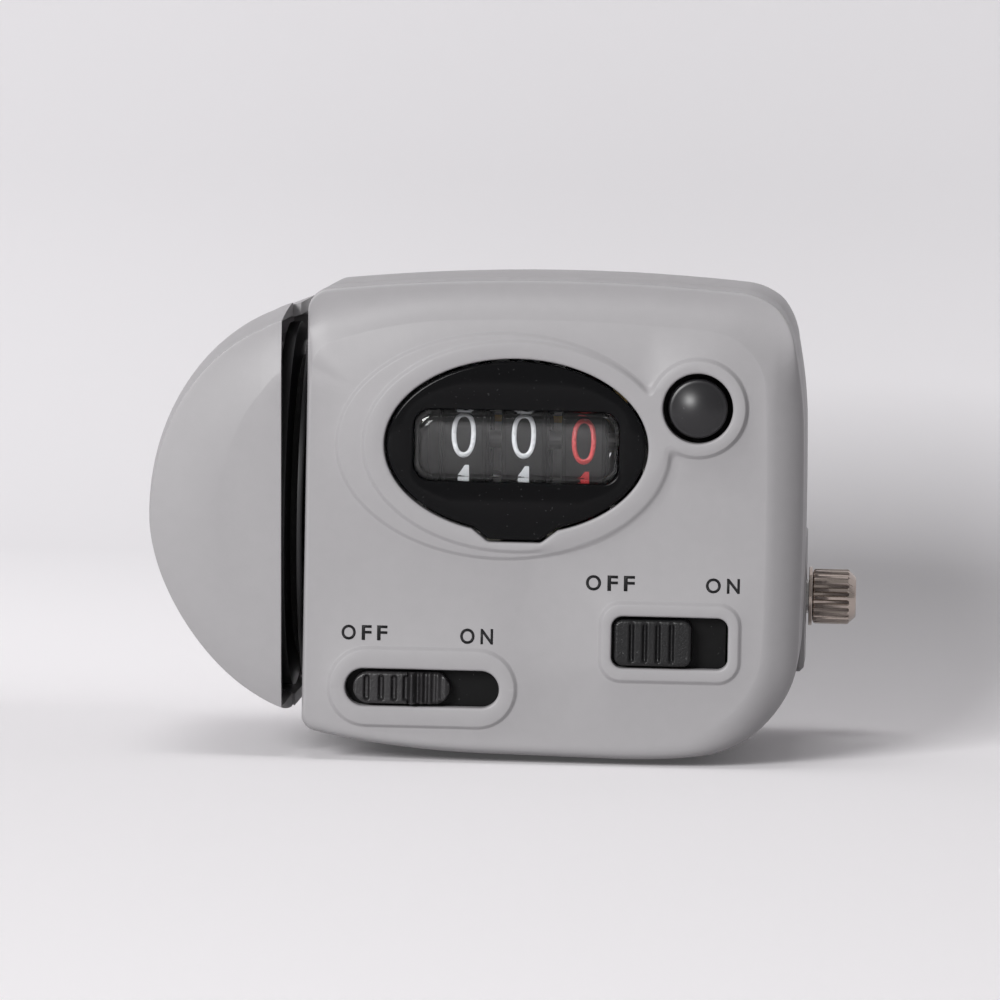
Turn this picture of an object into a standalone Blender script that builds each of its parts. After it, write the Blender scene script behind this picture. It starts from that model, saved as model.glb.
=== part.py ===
"""Fishing line counter for a rod: housing, measuring wheel pod, counter train and rod clamp.

Metres, +Z up. The rod runs along Z, the face looks towards -Y, the measuring wheel
turns about X. The origin is under the middle of the whole counter, at its foot.
"""
import math

import bmesh
import bpy

# Housing
housing_width = 0.0549
housing_height = 0.0534
housing_depth = 0.0340
housing_wall = 0.0016
housing_split_depth = 0.0115
top_crown_drop = 0.0016
bottom_crown_rise = 0.0033
right_side_bulge = 0.0007
standing_land_width = 0.0140
corner_top_left = 0.0022
corner_top_right = 0.0066
corner_bottom_right = 0.0100
corner_bottom_left = 0.0015
face_border_width = 0.0046
rear_edge_round = 0.0014
edge_round_share = 0.3
housing_corner_steps = (7, 6, 4, 3)
housing_side_steps = (4, 9, 3, 0)
land_left_shares = (0.25, 0.5, 0.75, 1)
land_right_shares = (0, 0.5)

# Fits between neighbours
fit_gap = 0.0003
running_gap = 0.0002
cut_overrun = 0.0010
weld_distance = 0.000001

# Face details
front_stand_out = 0.0014
terrace_height = 0.00035
outer_oval_half_width = 0.0184
outer_oval_half_height = 0.0124
outer_oval_shift = 0.0014
inner_oval_half_width = 0.0169
inner_oval_half_height = 0.0116
button_ring_radius = 0.0054
rim_height = 0.0005

# Window
window_from_middle = -0.0042
window_height = 0.0351
window_half_width = 0.0145
window_half_height = 0.00935
tab_top_half_width = 0.0046
tab_bottom_half_width = 0.0028
tab_drop = 0.0016
mask_flange = 0.0010
mask_flange_thickness = 0.0008
pane_width = 0.0224
pane_height = 0.0077
pane_corner = 0.0018
pane_flange = 0.0008
pane_flange_thickness = 0.0006
pane_stand_out = 0.0003

# Reset button and its lever
button_from_middle = 0.0157
button_above_window = 0.0046
button_radius = 0.00325
button_clearance = 0.0006
button_dome_rise = 0.0010
button_stem_radius = 0.0012
button_skirt_radius = 0.0046
button_skirt_thickness = 0.0010
button_travel = 0.0020
reset_lever_pivot_depth = 0.0170
reset_lever_above_button = 0.0089
reset_lever_arm_width = 0.0030
reset_lever_arm_thickness = 0.0016
reset_lever_sleeve_radius = 0.0016
reset_finger_reach = 0.0040
reset_finger_drop = 0.0026
reset_pin_radius = 0.0007
spring_wire_radius = 0.00022
spring_coil_radius = 0.0022
spring_turns = 4
spring_points_per_turn = 10

# Line lock
lock_from_left = 0.01335
lock_height = 0.0082
lock_slot_length = 0.0170
lock_slot_height = 0.0041
lock_rim_length = 0.0207
lock_rim_height = 0.0087
lock_knob_length = 0.0113
lock_knob_stand_out = 0.0011
slider_plate_margin = 0.0016
slider_plate_thickness = 0.0009
slider_peg_radius = 0.0008
lock_rib_count = 8
slider_rib_height = 0.0004
lock_pivot_from_left_wall = 0.0024
lock_pivot_height = 0.0202
lock_lever_depth = 0.0050
lock_lever_thickness = 0.0016
lock_lever_width = 0.0024
lock_fork_margin = 0.0009
lock_pad_height_above_pivot = 0.0045
lock_pad_height = 0.0024
lock_pad_thickness = 0.0010
lock_pad_stand_back = 0.0025
lock_pin_radius = 0.0008
lock_boss_radius = 0.0017

# Light switch
light_from_middle = 0.0131
light_height = 0.0138
light_slot_length = 0.0128
light_slot_height = 0.0057
light_slot_corner = 0.0012
light_rim_length = 0.0154
light_rim_height = 0.0087
light_rim_corner = 0.0024
light_knob_length = 0.0085
light_travel = 0.0036
light_rib_count = 5
switch_length = 0.0110
switch_height = 0.0040
switch_depth = 0.0030
switch_slot_height = 0.0020
board_width = 0.0150
board_height = 0.0100
board_thickness = 0.0010
board_post_radius = 0.0012
lamp_radius = 0.0015
lamp_length = 0.0046
lamp_flange_radius = 0.0018
lamp_flange_thickness = 0.0006

# Number drums and their frame
drum_radius = 0.0092
drum_depth = 0.0135
drum_band_width = 0.0042
drum_pitch = 0.00665
drum_rim_thickness = 0.0010
drum_web_thickness = 0.0009
drum_hub_radius = 0.0022
drum_shaft_radius = 0.0010
drum_gear_thickness = 0.0009
transfer_module = 0.00075
drum_gear_teeth = 20
transfer_pinion_teeth = 8
transfer_pinion_width = 0.0016
pinion_shaft_radius = 0.0007
frame_plate_thickness = 0.0013
frame_side_gap = 0.0009
frame_margin = 0.0026

# Gear train from the wheel to the tenths drum
train_module = 0.0005
drive_module = 0.0004
wheel_pinion_teeth = 10
idler_teeth = 25
idler_pinion_teeth = 10
drive_gear_teeth = 40
train_gear_thickness = 0.0012
idler_pin_radius = 0.0008
addendum_share = 0.80
dedendum_share = 1.15
tooth_root_share = 0.60
tooth_tip_share = 0.22
tooth_slack_share = 0.86

# Measuring wheel and pod
slot_width = 0.0021
pod_width = 0.0164
pod_oval_half_width = 0.0198
pod_oval_half_height = 0.0232
pod_middle_height = 0.0268
pod_set_back = 0.0008
pod_depth = 0.0448
pod_wall = 0.0014
pod_split_depth = 0.0180
pod_border_width = 0.0046
pod_edge_round = 0.0028
pod_outline_steps = 26
wheel_depth = 0.0232
wheel_radius = 0.0205
groove_bottom_radius = 0.0159
wheel_flank_gap = 0.0005
right_flange_width = 0.0005
groove_width = 0.0014
left_flange_width = 0.0013
wheel_web_thickness = 0.0016
wheel_hub_radius = 0.0050
wheel_hub_length = 0.0075
wheel_lightening_radius = 0.0032
wheel_lightening_count = 6
traction_ring_thickness = 0.0007
wheel_shaft_radius = 0.0015
bush_radius = 0.0027
bush_flange_radius = 0.0036
bush_flange_thickness = 0.0007
pod_boss_radius = 0.0042
pod_boss_reach = 0.0036
clip_thickness = 0.0006
clip_radius = 0.0028
clip_opening_share = 0.70
ear_thickness = 0.0024
ear_height = 0.0032
ear_lug_height = 0.0060
ear_reach = 0.0070
ear_top_margin = 0.0006

# Coin cell and its door
cell_from_middle = -0.0036
cell_radius = 0.0100
cell_top_clearance = 0.0033
cell_thickness = 0.0032
cell_front_depth = 0.0281
door_radius = 0.0108
door_thickness = 0.0012
door_coin_slot_length = 0.0110
door_coin_slot_width = 0.0016
door_coin_slot_depth = 0.0006
door_step_width = 0.0009
contact_strip_width = 0.0040
contact_strip_thickness = 0.0004

# Rod clamp
clamp_depth = 0.0165
clamp_middle_height = 0.0160
clamp_height = 0.0160
bracket_plate_thickness = 0.0025
fixed_jaw_thickness = 0.0032
ear_block_width = 0.0070
rod_gap_open = 0.0128
clamp_pad_thickness = 0.0016
jaw_plate_thickness = 0.0045
jaw_sleeve_length = 0.0054
jaw_sleeve_radius = 0.0042
jaw_end_clearance = 0.00125
clamp_screw_radius = 0.0020
knob_radius = 0.00315
knob_length = 0.0050
knob_flutes = 20
knob_flute_depth = 0.00025
knob_ridge_shares = (0.0, 0.5)
knob_flute_shares = (0.66, 0.84)
knob_chamfer = 0.0007
washer_thickness = 0.0004
washer_radius = 0.0034
pad_groove_count = 5
pad_groove_depth = 0.0004
pad_groove_share = 0.25

# Screws and bosses
screw_radius = 0.0011
screw_head_radius = 0.0020
screw_head_height = 0.0012
screw_slot_width = 0.0005
screw_slot_depth = 0.0005
boss_radius = 0.0024
boss_inset = 0.0004

# Bosses, posts and the places of screws
screw_left_reach = 0.0179
screw_right_reach = 0.0222
screw_middle_reach = 0.0020
screw_low_right_reach = 0.0208
screw_top_height = 0.0484
screw_top_step = 0.0024
screw_bottom_height = 0.0046
screw_low_right_height = 0.0073
screw_bite = 0.0050
ear_boss_length = 0.0060
pod_screw_from_left = 0.0119
pod_screw_rise = 0.0150
bracket_screw_rise = 0.0039
bracket_screw_inset = 0.0014
bracket_screw_bite = 0.0070
frame_front_depth = 0.0103
frame_below_shafts = 0.0058
frame_above_lever = 0.0017
frame_post_inset = 0.0033
frame_post_radius = 0.0012
face_border_depth = 0.0022
board_depth = 0.0083
board_lift = 0.0016
slider_plate_gap = 0.0011
lock_plate_half = 0.0029
light_plate_half = 0.0038
lock_pin_seat = 0.0016
lock_neck_share = 0.60
lock_fork_rise = 0.0010
lock_rib_span_share = 0.80
rib_width_share = 0.45
rib_reach_share = 0.80
pad_opening_drop = 0.0034
ring_width_share = 0.45
rim_thickness = 0.0016
wheel_edge_break = 0.0002
weld_overlap = 0.0004
cell_lip = 0.0005
contact_end_y_gap = 0.0003
edge_break = 0.0005
clamp_screw_tip_back = 0.0006
drum_middle_shift = 0.0006

# Facets of round shapes
fine_facets = 36
round_facets = 24
small_facets = 14
tiny_facets = 8
screw_facets = 10

# Places worked out from the sizes above
knob_reach = washer_thickness + knob_length + fit_gap
overall_length = pod_width + slot_width + housing_width + knob_reach
overall_depth = front_stand_out + housing_depth + clamp_depth
pod_left = -overall_length / 2
pod_edge = pod_left + pod_width
housing_left = pod_edge + slot_width
housing_right = housing_left + housing_width
housing_middle = (housing_left + housing_right) / 2
housing_centre_height = housing_height / 2
face_y = front_stand_out - overall_depth / 2
rear_y = face_y + housing_depth
clamp_rear_y = rear_y + clamp_depth
window_x = housing_middle + window_from_middle
button_x = housing_middle + button_from_middle
button_height = window_height + button_above_window
reset_lever_pivot_height = button_height + reset_lever_above_button
lock_x = housing_left + lock_from_left
light_x = housing_middle + light_from_middle
drum_y = face_y + drum_depth
wheel_y = face_y + wheel_depth
split_y = face_y + housing_split_depth
inner_face_y = face_y + housing_wall
inner_rear_y = rear_y - housing_wall
contact_end_y = inner_rear_y - contact_end_y_gap

finishes = {
    "body_plastic": ((0.40, 0.40, 0.42), 0.42, 0.0),
    "black_gloss": ((0.012, 0.012, 0.014), 0.12, 0.0),
    "clear_lens": ((0.80, 0.82, 0.84), 0.05, 0.0),
    "black_plastic": ((0.025, 0.025, 0.028), 0.45, 0.0),
    "drum_black": ((0.015, 0.015, 0.016), 0.50, 0.0),
    "nylon": ((0.62, 0.60, 0.54), 0.45, 0.0),
    "steel": ((0.56, 0.56, 0.55), 0.30, 1.0),
    "nickel": ((0.66, 0.62, 0.58), 0.22, 1.0),
    "brass": ((0.60, 0.44, 0.20), 0.35, 1.0),
    "rubber": ((0.02, 0.02, 0.02), 0.80, 0.0),
    "circuit_board": ((0.03, 0.16, 0.07), 0.50, 0.0),
    "lamp_clear": ((0.85, 0.87, 0.90), 0.10, 0.0),
}


# Shape helpers
def add_object(name, bm):
    """Turn a bmesh into a linked object with its faces pointing out."""
    bmesh.ops.remove_doubles(bm, verts=bm.verts, dist=weld_distance)
    bmesh.ops.recalc_face_normals(bm, faces=bm.faces)
    mesh = bpy.data.meshes.new(name)
    bm.to_mesh(mesh)
    bm.free()
    obj = bpy.data.objects.new(name, mesh)
    bpy.context.scene.collection.objects.link(obj)
    return obj


def along(axis, level, first, second):
    """A point at a level on the axis; first and second are the other two in X, Y, Z order."""
    if axis == "X":
        return (level, first, second)
    if axis == "Y":
        return (first, level, second)
    return (first, second, level)


def circle(centre, radius, facets, start=0.0):
    """Points round a circle in a plane."""
    points = []
    for step in range(facets):
        angle = start + math.tau * step / facets
        points.append((centre[0] + radius * math.cos(angle), centre[1] + radius * math.sin(angle)))
    return points


def ellipse(centre, half_width, half_height, facets):
    """Points round an ellipse in a plane."""
    unit = circle((0, 0), 1, facets)
    return [(centre[0] + half_width * x, centre[1] + half_height * z) for x, z in unit]


def rounded_box(centre, width, height, corner, steps=4):
    """Points round a rectangle with round corners, counter-clockwise from the lower right."""
    points = []
    half_w = width / 2 - corner
    half_h = height / 2 - corner
    for quarter, (sx, sz) in enumerate(((1, -1), (1, 1), (-1, 1), (-1, -1))):
        for step in range(steps + 1):
            angle = math.pi / 2 * (quarter - 1 + step / steps)
            points.append((centre[0] + sx * half_w + corner * math.cos(angle),
                           centre[1] + sz * half_h + corner * math.sin(angle)))
    return points


def loft(name, axis, rings):
    """A closed body through rings, each a level and its outline, with a cap at both ends."""
    bm = bmesh.new()
    rows = [[bm.verts.new(along(axis, level, a, b)) for a, b in outline] for level, outline in rings]
    count = len(rows[0])
    for row, following in zip(rows, rows[1:]):
        for i in range(count):
            j = (i + 1) % count
            bm.faces.new((row[i], row[j], following[j], following[i]))
    bm.faces.new(rows[0])
    bm.faces.new(list(reversed(rows[-1])))
    return add_object(name, bm)


def prism(name, axis, outline, start, end):
    """An outline extruded along an axis."""
    return loft(name, axis, [(start, outline), (end, outline)])


def rod(name, axis, centre, radius, start, end, facets=small_facets):
    """A round bar along an axis."""
    return prism(name, axis, circle(centre, radius, facets), start, end)


def block(name, low, high):
    """A box between two corners."""
    outline = [(low[0], low[1]), (high[0], low[1]), (high[0], high[1]), (low[0], high[1])]
    return prism(name, "Z", outline, low[2], high[2])


def turned(name, axis, centre, profile, facets=round_facets):
    """A closed profile of level and radius spun round an axis."""
    bm = bmesh.new()
    rows = []
    for level, radius in profile:
        ring = [(centre[0], centre[1])] if radius == 0 else circle(centre, radius, facets)
        rows.append([bm.verts.new(along(axis, level, a, b)) for a, b in ring])
    for row, following in zip(rows, rows[1:] + rows[:1]):
        for i in range(facets):
            j = (i + 1) % facets
            corners = [row[i % len(row)], row[j % len(row)],
                       following[j % len(following)], following[i % len(following)]]
            unique = list(dict.fromkeys(corners))
            if len(unique) > 2:
                bm.faces.new(unique)
    return add_object(name, bm)


def tube(name, axis, centre, outer, inner, start, end, facets=small_facets):
    """A ring of square section along an axis."""
    profile = [(start, inner), (start, outer), (end, outer), (end, inner)]
    return turned(name, axis, centre, profile, facets)


def combine(target, others, operation):
    """Join other bodies to the target, or cut them from it, and drop them."""
    for other in others:
        modifier = target.modifiers.new(operation.lower(), "BOOLEAN")
        modifier.operation = operation
        modifier.solver = "EXACT"
        modifier.object = other
    graph = bpy.context.evaluated_depsgraph_get()
    mesh = bpy.data.meshes.new_from_object(target.evaluated_get(graph))
    target.modifiers.clear()
    target.data = mesh
    for other in others:
        bpy.data.objects.remove(other)
    return target


def join(target, *others):
    """Fuse other bodies onto the target."""
    return combine(target, others, "UNION")


def cut(target, *others):
    """Take other bodies away from the target."""
    return combine(target, others, "DIFFERENCE")


def gear_outline(centre, teeth, module, start=0.0):
    """Straight-sided teeth: root, flank and tip points from the module."""
    pitch_radius = teeth * module / 2
    root = pitch_radius - dedendum_share * module
    tip = pitch_radius + addendum_share * module
    half_pitch = math.pi / teeth
    root_half = half_pitch * tooth_root_share * tooth_slack_share
    tip_half = half_pitch * tooth_tip_share * tooth_slack_share
    points = []
    for tooth in range(teeth):
        middle = start + tooth * math.tau / teeth
        for radius, offset in ((root, -root_half), (tip, -tip_half), (tip, tip_half), (root, root_half)):
            angle = middle + offset
            points.append((centre[0] + radius * math.cos(angle), centre[1] + radius * math.sin(angle)))
    return points


def bored_prism(name, axis, outline, bore_centre, bore_radius, start, end, facets=small_facets):
    """An extruded outline with a round bore through it."""
    body = prism(name, axis, outline, start, end)
    bore = rod("bore", axis, bore_centre, bore_radius, start - cut_overrun, end + cut_overrun, facets)
    return cut(body, bore)


def place(obj, origin):
    """Put the object's origin on a point and leave its shape where it is."""
    for vertex in obj.data.vertices:
        vertex.co = (vertex.co[0] - origin[0], vertex.co[1] - origin[1], vertex.co[2] - origin[2])
    obj.location = origin
    return obj


def finish(obj, name, origin, crease_degrees=40):
    """Name a piece's finish, shade it smooth between sharp edges and set its origin."""
    colour, roughness, metallic = finishes[name]
    material = bpy.data.materials.new(obj.name + "_" + name)
    material.use_nodes = True
    shader = material.node_tree.nodes["Principled BSDF"]
    shader.inputs["Base Color"].default_value = (*colour, 1)
    shader.inputs["Roughness"].default_value = roughness
    shader.inputs["Metallic"].default_value = metallic
    obj.data.materials.clear()
    obj.data.materials.append(material)
    for polygon in obj.data.polygons:
        polygon.use_smooth = True
    obj.data.set_sharp_from_angle(angle=math.radians(crease_degrees))
    return place(obj, origin)


def meeting_point(first, first_distance, second, second_distance):
    """The upper point at given distances from two shaft centres."""
    dy = second[0] - first[0]
    dz = second[1] - first[1]
    span = math.hypot(dy, dz)
    reach = (first_distance ** 2 - second_distance ** 2 + span ** 2) / (2 * span)
    rise = math.sqrt(first_distance ** 2 - reach ** 2)
    return (first[0] + reach * dy / span - rise * dz / span,
            first[1] + reach * dz / span + rise * dy / span)


# Shaft centres in the Y Z plane
drum_centre = (drum_y, window_height)
wheel_centre = (wheel_y, pod_middle_height)
transfer_distance = transfer_module * (drum_gear_teeth + transfer_pinion_teeth) / 2
transfer_centre = (drum_y, window_height - transfer_distance)
idler_distance = train_module * (wheel_pinion_teeth + idler_teeth) / 2
drive_distance = drive_module * (idler_pinion_teeth + drive_gear_teeth) / 2
idler_a = meeting_point(wheel_centre, idler_distance, drum_centre, drive_distance)
idler_b = meeting_point(drum_centre, drive_distance, wheel_centre, idler_distance)
idler_centre = max(idler_a, idler_b)
lever_centre = (face_y + reset_lever_pivot_depth, reset_lever_pivot_height)
frame_low = min(transfer_centre[1], wheel_centre[1]) - frame_below_shafts
frame_high = lever_centre[1] + frame_above_lever

# Levels along X of the counter
metres_x = window_x + drum_middle_shift
tenths_x = metres_x + drum_pitch
tens_x = metres_x - drum_pitch
drive_gear_x = tenths_x + drum_band_width / 2
big_gear_x = drive_gear_x + train_gear_thickness + frame_side_gap
right_plate_x = big_gear_x + train_gear_thickness + frame_side_gap
left_plate_x = tens_x - drum_band_width / 2 - frame_side_gap - frame_plate_thickness
right_plate_end = right_plate_x + frame_plate_thickness


# Outlines of the two shells
def housing_outline(inset):
    """The housing seen from the front, drawn in by an inset, counter-clockwise from the lower right."""
    half_w = housing_width / 2
    half_h = housing_height / 2
    half_land = standing_land_width / 2
    radii = (corner_bottom_right, corner_top_right, corner_top_left, corner_bottom_left)
    signs = ((1, -1), (1, 1), (-1, 1), (-1, -1))
    corners = [(sx, sz, radius, steps)
               for (sx, sz), radius, steps in zip(signs, radii, housing_corner_steps)]
    raw = []
    for quarter, (sx, sz, radius, steps) in enumerate(corners):
        centre_x = sx * (half_w - radius)
        centre_z = sz * (half_h - radius)
        for step in range(steps + 1):
            angle = math.pi / 2 * (quarter - 1 + step / steps)
            raw.append((centre_x + radius * math.cos(angle), centre_z + radius * math.sin(angle)))
        next_sx, next_sz, next_radius, _ = corners[(quarter + 1) % 4]
        start = raw[-1]
        end = (next_sx * half_w, next_sz * (half_h - next_radius)) if quarter in (0, 2) else (
            next_sx * (half_w - next_radius), next_sz * half_h)
        for step in range(1, housing_side_steps[quarter]):
            share = step / housing_side_steps[quarter]
            raw.append((start[0] + (end[0] - start[0]) * share, start[1] + (end[1] - start[1]) * share))
    left_run = half_w - corner_bottom_left - half_land
    right_run = half_w - corner_bottom_right - half_land
    for share in land_left_shares:
        raw.append((-half_land - left_run * (1 - share), -half_h))
    for share in land_right_shares:
        raw.append((half_land + right_run * share, -half_h))
    points = []
    for x, z in raw:
        if z > 0:
            z -= top_crown_drop * (x / half_w) ** 2 * z / half_h
        else:
            past_land = max(0, abs(x) - half_land) / (half_w - half_land)
            z -= bottom_crown_rise * past_land ** 2 * z / half_h
        if x > 0:
            x -= right_side_bulge * (z / half_h) ** 2 * x / half_w
        points.append((housing_middle + x * (1 - inset / half_w),
                       housing_centre_height + z * (1 - inset / half_h)))
    return points


def pod_outline(inset, past_edge=0.0):
    """The pod seen from the front: an oval cut straight at the slot, drawn in towards that edge."""
    centre_x = pod_left + pod_oval_half_width
    tip = math.acos((pod_edge - centre_x) / pod_oval_half_width)
    points = []
    for step in range(pod_outline_steps + 1):
        angle = tip + (math.tau - 2 * tip) * step / pod_outline_steps
        x = centre_x + pod_oval_half_width * math.cos(angle)
        z = pod_oval_half_height * math.sin(angle)
        points.append((pod_edge + (x - pod_edge) * (1 - inset / pod_width),
                       pod_middle_height + z * (1 - inset / pod_oval_half_height)))
    if past_edge:
        top = points[0]
        bottom = points[-1]
        points = [(pod_edge + past_edge, top[1])] + points + [(pod_edge + past_edge, bottom[1])]
    return points


def mask_outline(grow):
    """An oval with a short tab under it, grown by a margin."""
    half_w = window_half_width + grow
    half_h = window_half_height + grow
    top_half = tab_top_half_width + grow
    tab_z = -half_h * math.sqrt(1 - (top_half / half_w) ** 2)
    points = []
    start = math.asin(tab_z / half_h)
    for step in range(fine_facets + 1):
        angle = start + (math.pi - 2 * start) * step / fine_facets
        points.append((window_x + half_w * math.cos(angle), window_height + half_h * math.sin(angle)))
    drop = window_height - half_h - tab_drop
    points.append((window_x - tab_bottom_half_width - grow, drop))
    points.append((window_x + tab_bottom_half_width + grow, drop))
    return points


def stadium(centre, length, height, grow=0.0):
    """Points round a slot with half-round ends."""
    return rounded_box(centre, length + 2 * grow, height + 2 * grow, height / 2 + grow - weld_distance, 6)


def soften(obj, width, segments=1):
    """Break a piece's sharp edges with a small bevel."""
    modifier = obj.modifiers.new("soften", "BEVEL")
    modifier.width = width
    modifier.segments = segments
    modifier.limit_method = "ANGLE"
    modifier.angle_limit = math.radians(50)
    graph = bpy.context.evaluated_depsgraph_get()
    mesh = bpy.data.meshes.new_from_object(obj.evaluated_get(graph))
    obj.modifiers.clear()
    obj.data = mesh
    return obj


# Where the screws and posts stand
border_depth_shares = (0.0, 0.14, 0.42, 0.80, 1.0)
border_inset_shares = (1.0, 0.55, 0.25, 0.06, 0.0)
housing_screws = (
    (housing_middle - screw_left_reach, screw_top_height),
    (housing_middle + screw_right_reach, screw_top_height - screw_top_step),
    (housing_middle + screw_middle_reach, screw_bottom_height),
    (housing_middle + screw_low_right_reach, screw_low_right_height),
)
pod_screws = (
    (pod_left + pod_screw_from_left, pod_middle_height + pod_screw_rise),
    (pod_left + pod_screw_from_left, pod_middle_height - pod_screw_rise),
)
ear_top = pod_middle_height + pod_oval_half_height - pod_wall - ear_top_margin
ear_heights = (ear_top - ear_height / 2, 2 * pod_middle_height - ear_top + ear_height / 2)
ear_lug_heights = (ear_top - ear_lug_height / 2, 2 * pod_middle_height - ear_top + ear_lug_height / 2)
ear_screws = tuple((housing_left + ear_reach / 2, height) for height in ear_lug_heights)
frame_front = face_y + frame_front_depth
frame_back = wheel_y + frame_margin
frame_posts = (
    (left_plate_x + frame_plate_thickness / 2, frame_low + frame_post_inset),
    (left_plate_x + frame_plate_thickness / 2, frame_high - frame_post_inset),
    (right_plate_x + frame_plate_thickness / 2, frame_low + frame_post_inset),
    (right_plate_x + frame_plate_thickness / 2, frame_high - frame_post_inset),
)
screw_pilot_radius = screw_radius + running_gap
bracket_right = housing_right
bracket_y = rear_y + fit_gap
bracket_floor = bracket_y + bracket_plate_thickness
clamp_low = clamp_middle_height - clamp_height / 2
clamp_high = clamp_middle_height + clamp_height / 2
clamp_screw_y = (bracket_floor + clamp_rear_y) / 2
ear_block_left = bracket_right - ear_block_width
jaw_end = ear_block_left - jaw_end_clearance
jaw_face = jaw_end - jaw_sleeve_length - jaw_plate_thickness
rod_right = jaw_face - fit_gap - clamp_pad_thickness
rod_left = rod_right - rod_gap_open
fixed_jaw_face = rod_left - clamp_pad_thickness - fit_gap
bracket_left = fixed_jaw_face - fixed_jaw_thickness
bracket_screw_places = tuple(
    (x, clamp_middle_height + side * bracket_screw_rise)
    for x in (bracket_left + fixed_jaw_thickness / 2, ear_block_left + bracket_screw_inset)
    for side in (-1, 1))
cell_x = housing_middle + cell_from_middle
cell_height = housing_height - housing_wall - cell_top_clearance - cell_radius
cell_front = face_y + cell_front_depth
lever_pin_end = button_x + reset_lever_arm_width / 2 + fit_gap
lock_knob_left = lock_x - lock_slot_length / 2 + fit_gap
light_knob_left = light_x - light_slot_length / 2 + fit_gap
lock_pivot = (housing_left + housing_wall + lock_pivot_from_left_wall, lock_pivot_height)
slider_plate_y = inner_face_y + slider_plate_gap
board_y = face_y + board_depth
board_middle = light_height + board_lift
rim_front = face_y - rim_height
terrace_front = face_y - 2 * terrace_height


# Housing shells
def front_cover():
    """The front shell: a face with raised ovals, a button ring, two slider rims and its bosses."""
    front = split_y - fit_gap / 2
    outer = [(face_y + depth * face_border_depth, housing_outline(share * face_border_width))
             for depth, share in zip(border_depth_shares, border_inset_shares)]
    inner = [(level + housing_wall, housing_outline(housing_wall + share * face_border_width))
             for (level, _), share in zip(outer, border_inset_shares)]
    rings = outer + [(front, housing_outline(0)), (front, housing_outline(housing_wall))] + inner[::-1]
    body = loft("front_cover", "Y", rings)
    half_skin = inner_face_y - housing_wall / 2
    button_centre = (button_x, button_height)
    lock_centre = (lock_x, lock_height)
    light_centre = (light_x, light_height)
    outer_centre = (window_x - outer_oval_shift, window_height)
    raised = [
        prism("outer_terrace", "Y", ellipse(outer_centre, outer_oval_half_width, outer_oval_half_height,
                                            fine_facets), face_y - terrace_height, half_skin),
        prism("inner_terrace", "Y", ellipse((window_x, window_height), inner_oval_half_width,
                                            inner_oval_half_height, fine_facets), terrace_front, half_skin),
        rod("button_ring", "Y", button_centre, button_ring_radius, face_y - terrace_height, half_skin,
            round_facets),
        prism("lock_rim", "Y", stadium(lock_centre, lock_rim_length, lock_rim_height), rim_front, half_skin),
        prism("light_rim", "Y", rounded_box(light_centre, light_rim_length, light_rim_height,
                                            light_rim_corner), rim_front, half_skin),
        rod("lock_boss", "Y", lock_pivot, lock_boss_radius, half_skin,
            face_y + lock_lever_depth - fit_gap, small_facets),
    ]
    for side in (-1, 1):
        post_centre = (light_x + side * (board_width / 2 - board_post_radius),
                       board_middle + board_height / 2 - board_post_radius)
        raised.append(rod("board_post", "Y", post_centre, board_post_radius, half_skin, board_y - fit_gap,
                          tiny_facets))
    for spot in housing_screws:
        raised.append(rod("screw_boss", "Y", spot, boss_radius, half_skin, front, small_facets))
    join(body, *raised)
    through = (terrace_front - cut_overrun, inner_face_y + cut_overrun)
    cuts = [
        prism("window_cut", "Y", mask_outline(fit_gap), *through),
        rod("button_cut", "Y", button_centre, button_radius + button_clearance, *through, round_facets),
        prism("lock_cut", "Y", stadium(lock_centre, lock_slot_length, lock_slot_height), *through),
        prism("light_cut", "Y", rounded_box(light_centre, light_slot_length, light_slot_height,
                                            light_slot_corner), *through),
    ]
    pin_start = face_y + lock_lever_depth - fit_gap - lock_pin_seat
    cuts.append(rod("pin_cut", "Y", lock_pivot, lock_pin_radius + running_gap, pin_start,
                    face_y + lock_lever_depth + cut_overrun, tiny_facets))
    for spot in housing_screws:
        cuts.append(rod("screw_cut", "Y", spot, screw_pilot_radius, front - screw_bite - fit_gap,
                        front + cut_overrun, tiny_facets))
    lever_low = face_y + lock_lever_depth - fit_gap
    lever_high = lever_low + lock_lever_thickness + 2 * fit_gap
    pad_middle = lock_pivot_height + lock_pad_height_above_pivot
    cuts.append(block("pad_cut", (housing_left - cut_overrun, lever_low, pad_middle - pad_opening_drop),
                      (housing_left + housing_wall + cut_overrun, lever_high,
                       pad_middle + lock_pad_height / 2 + fit_gap)))
    cut(body, *cuts)
    return finish(body, "body_plastic", (housing_middle, face_y, housing_centre_height))


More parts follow.
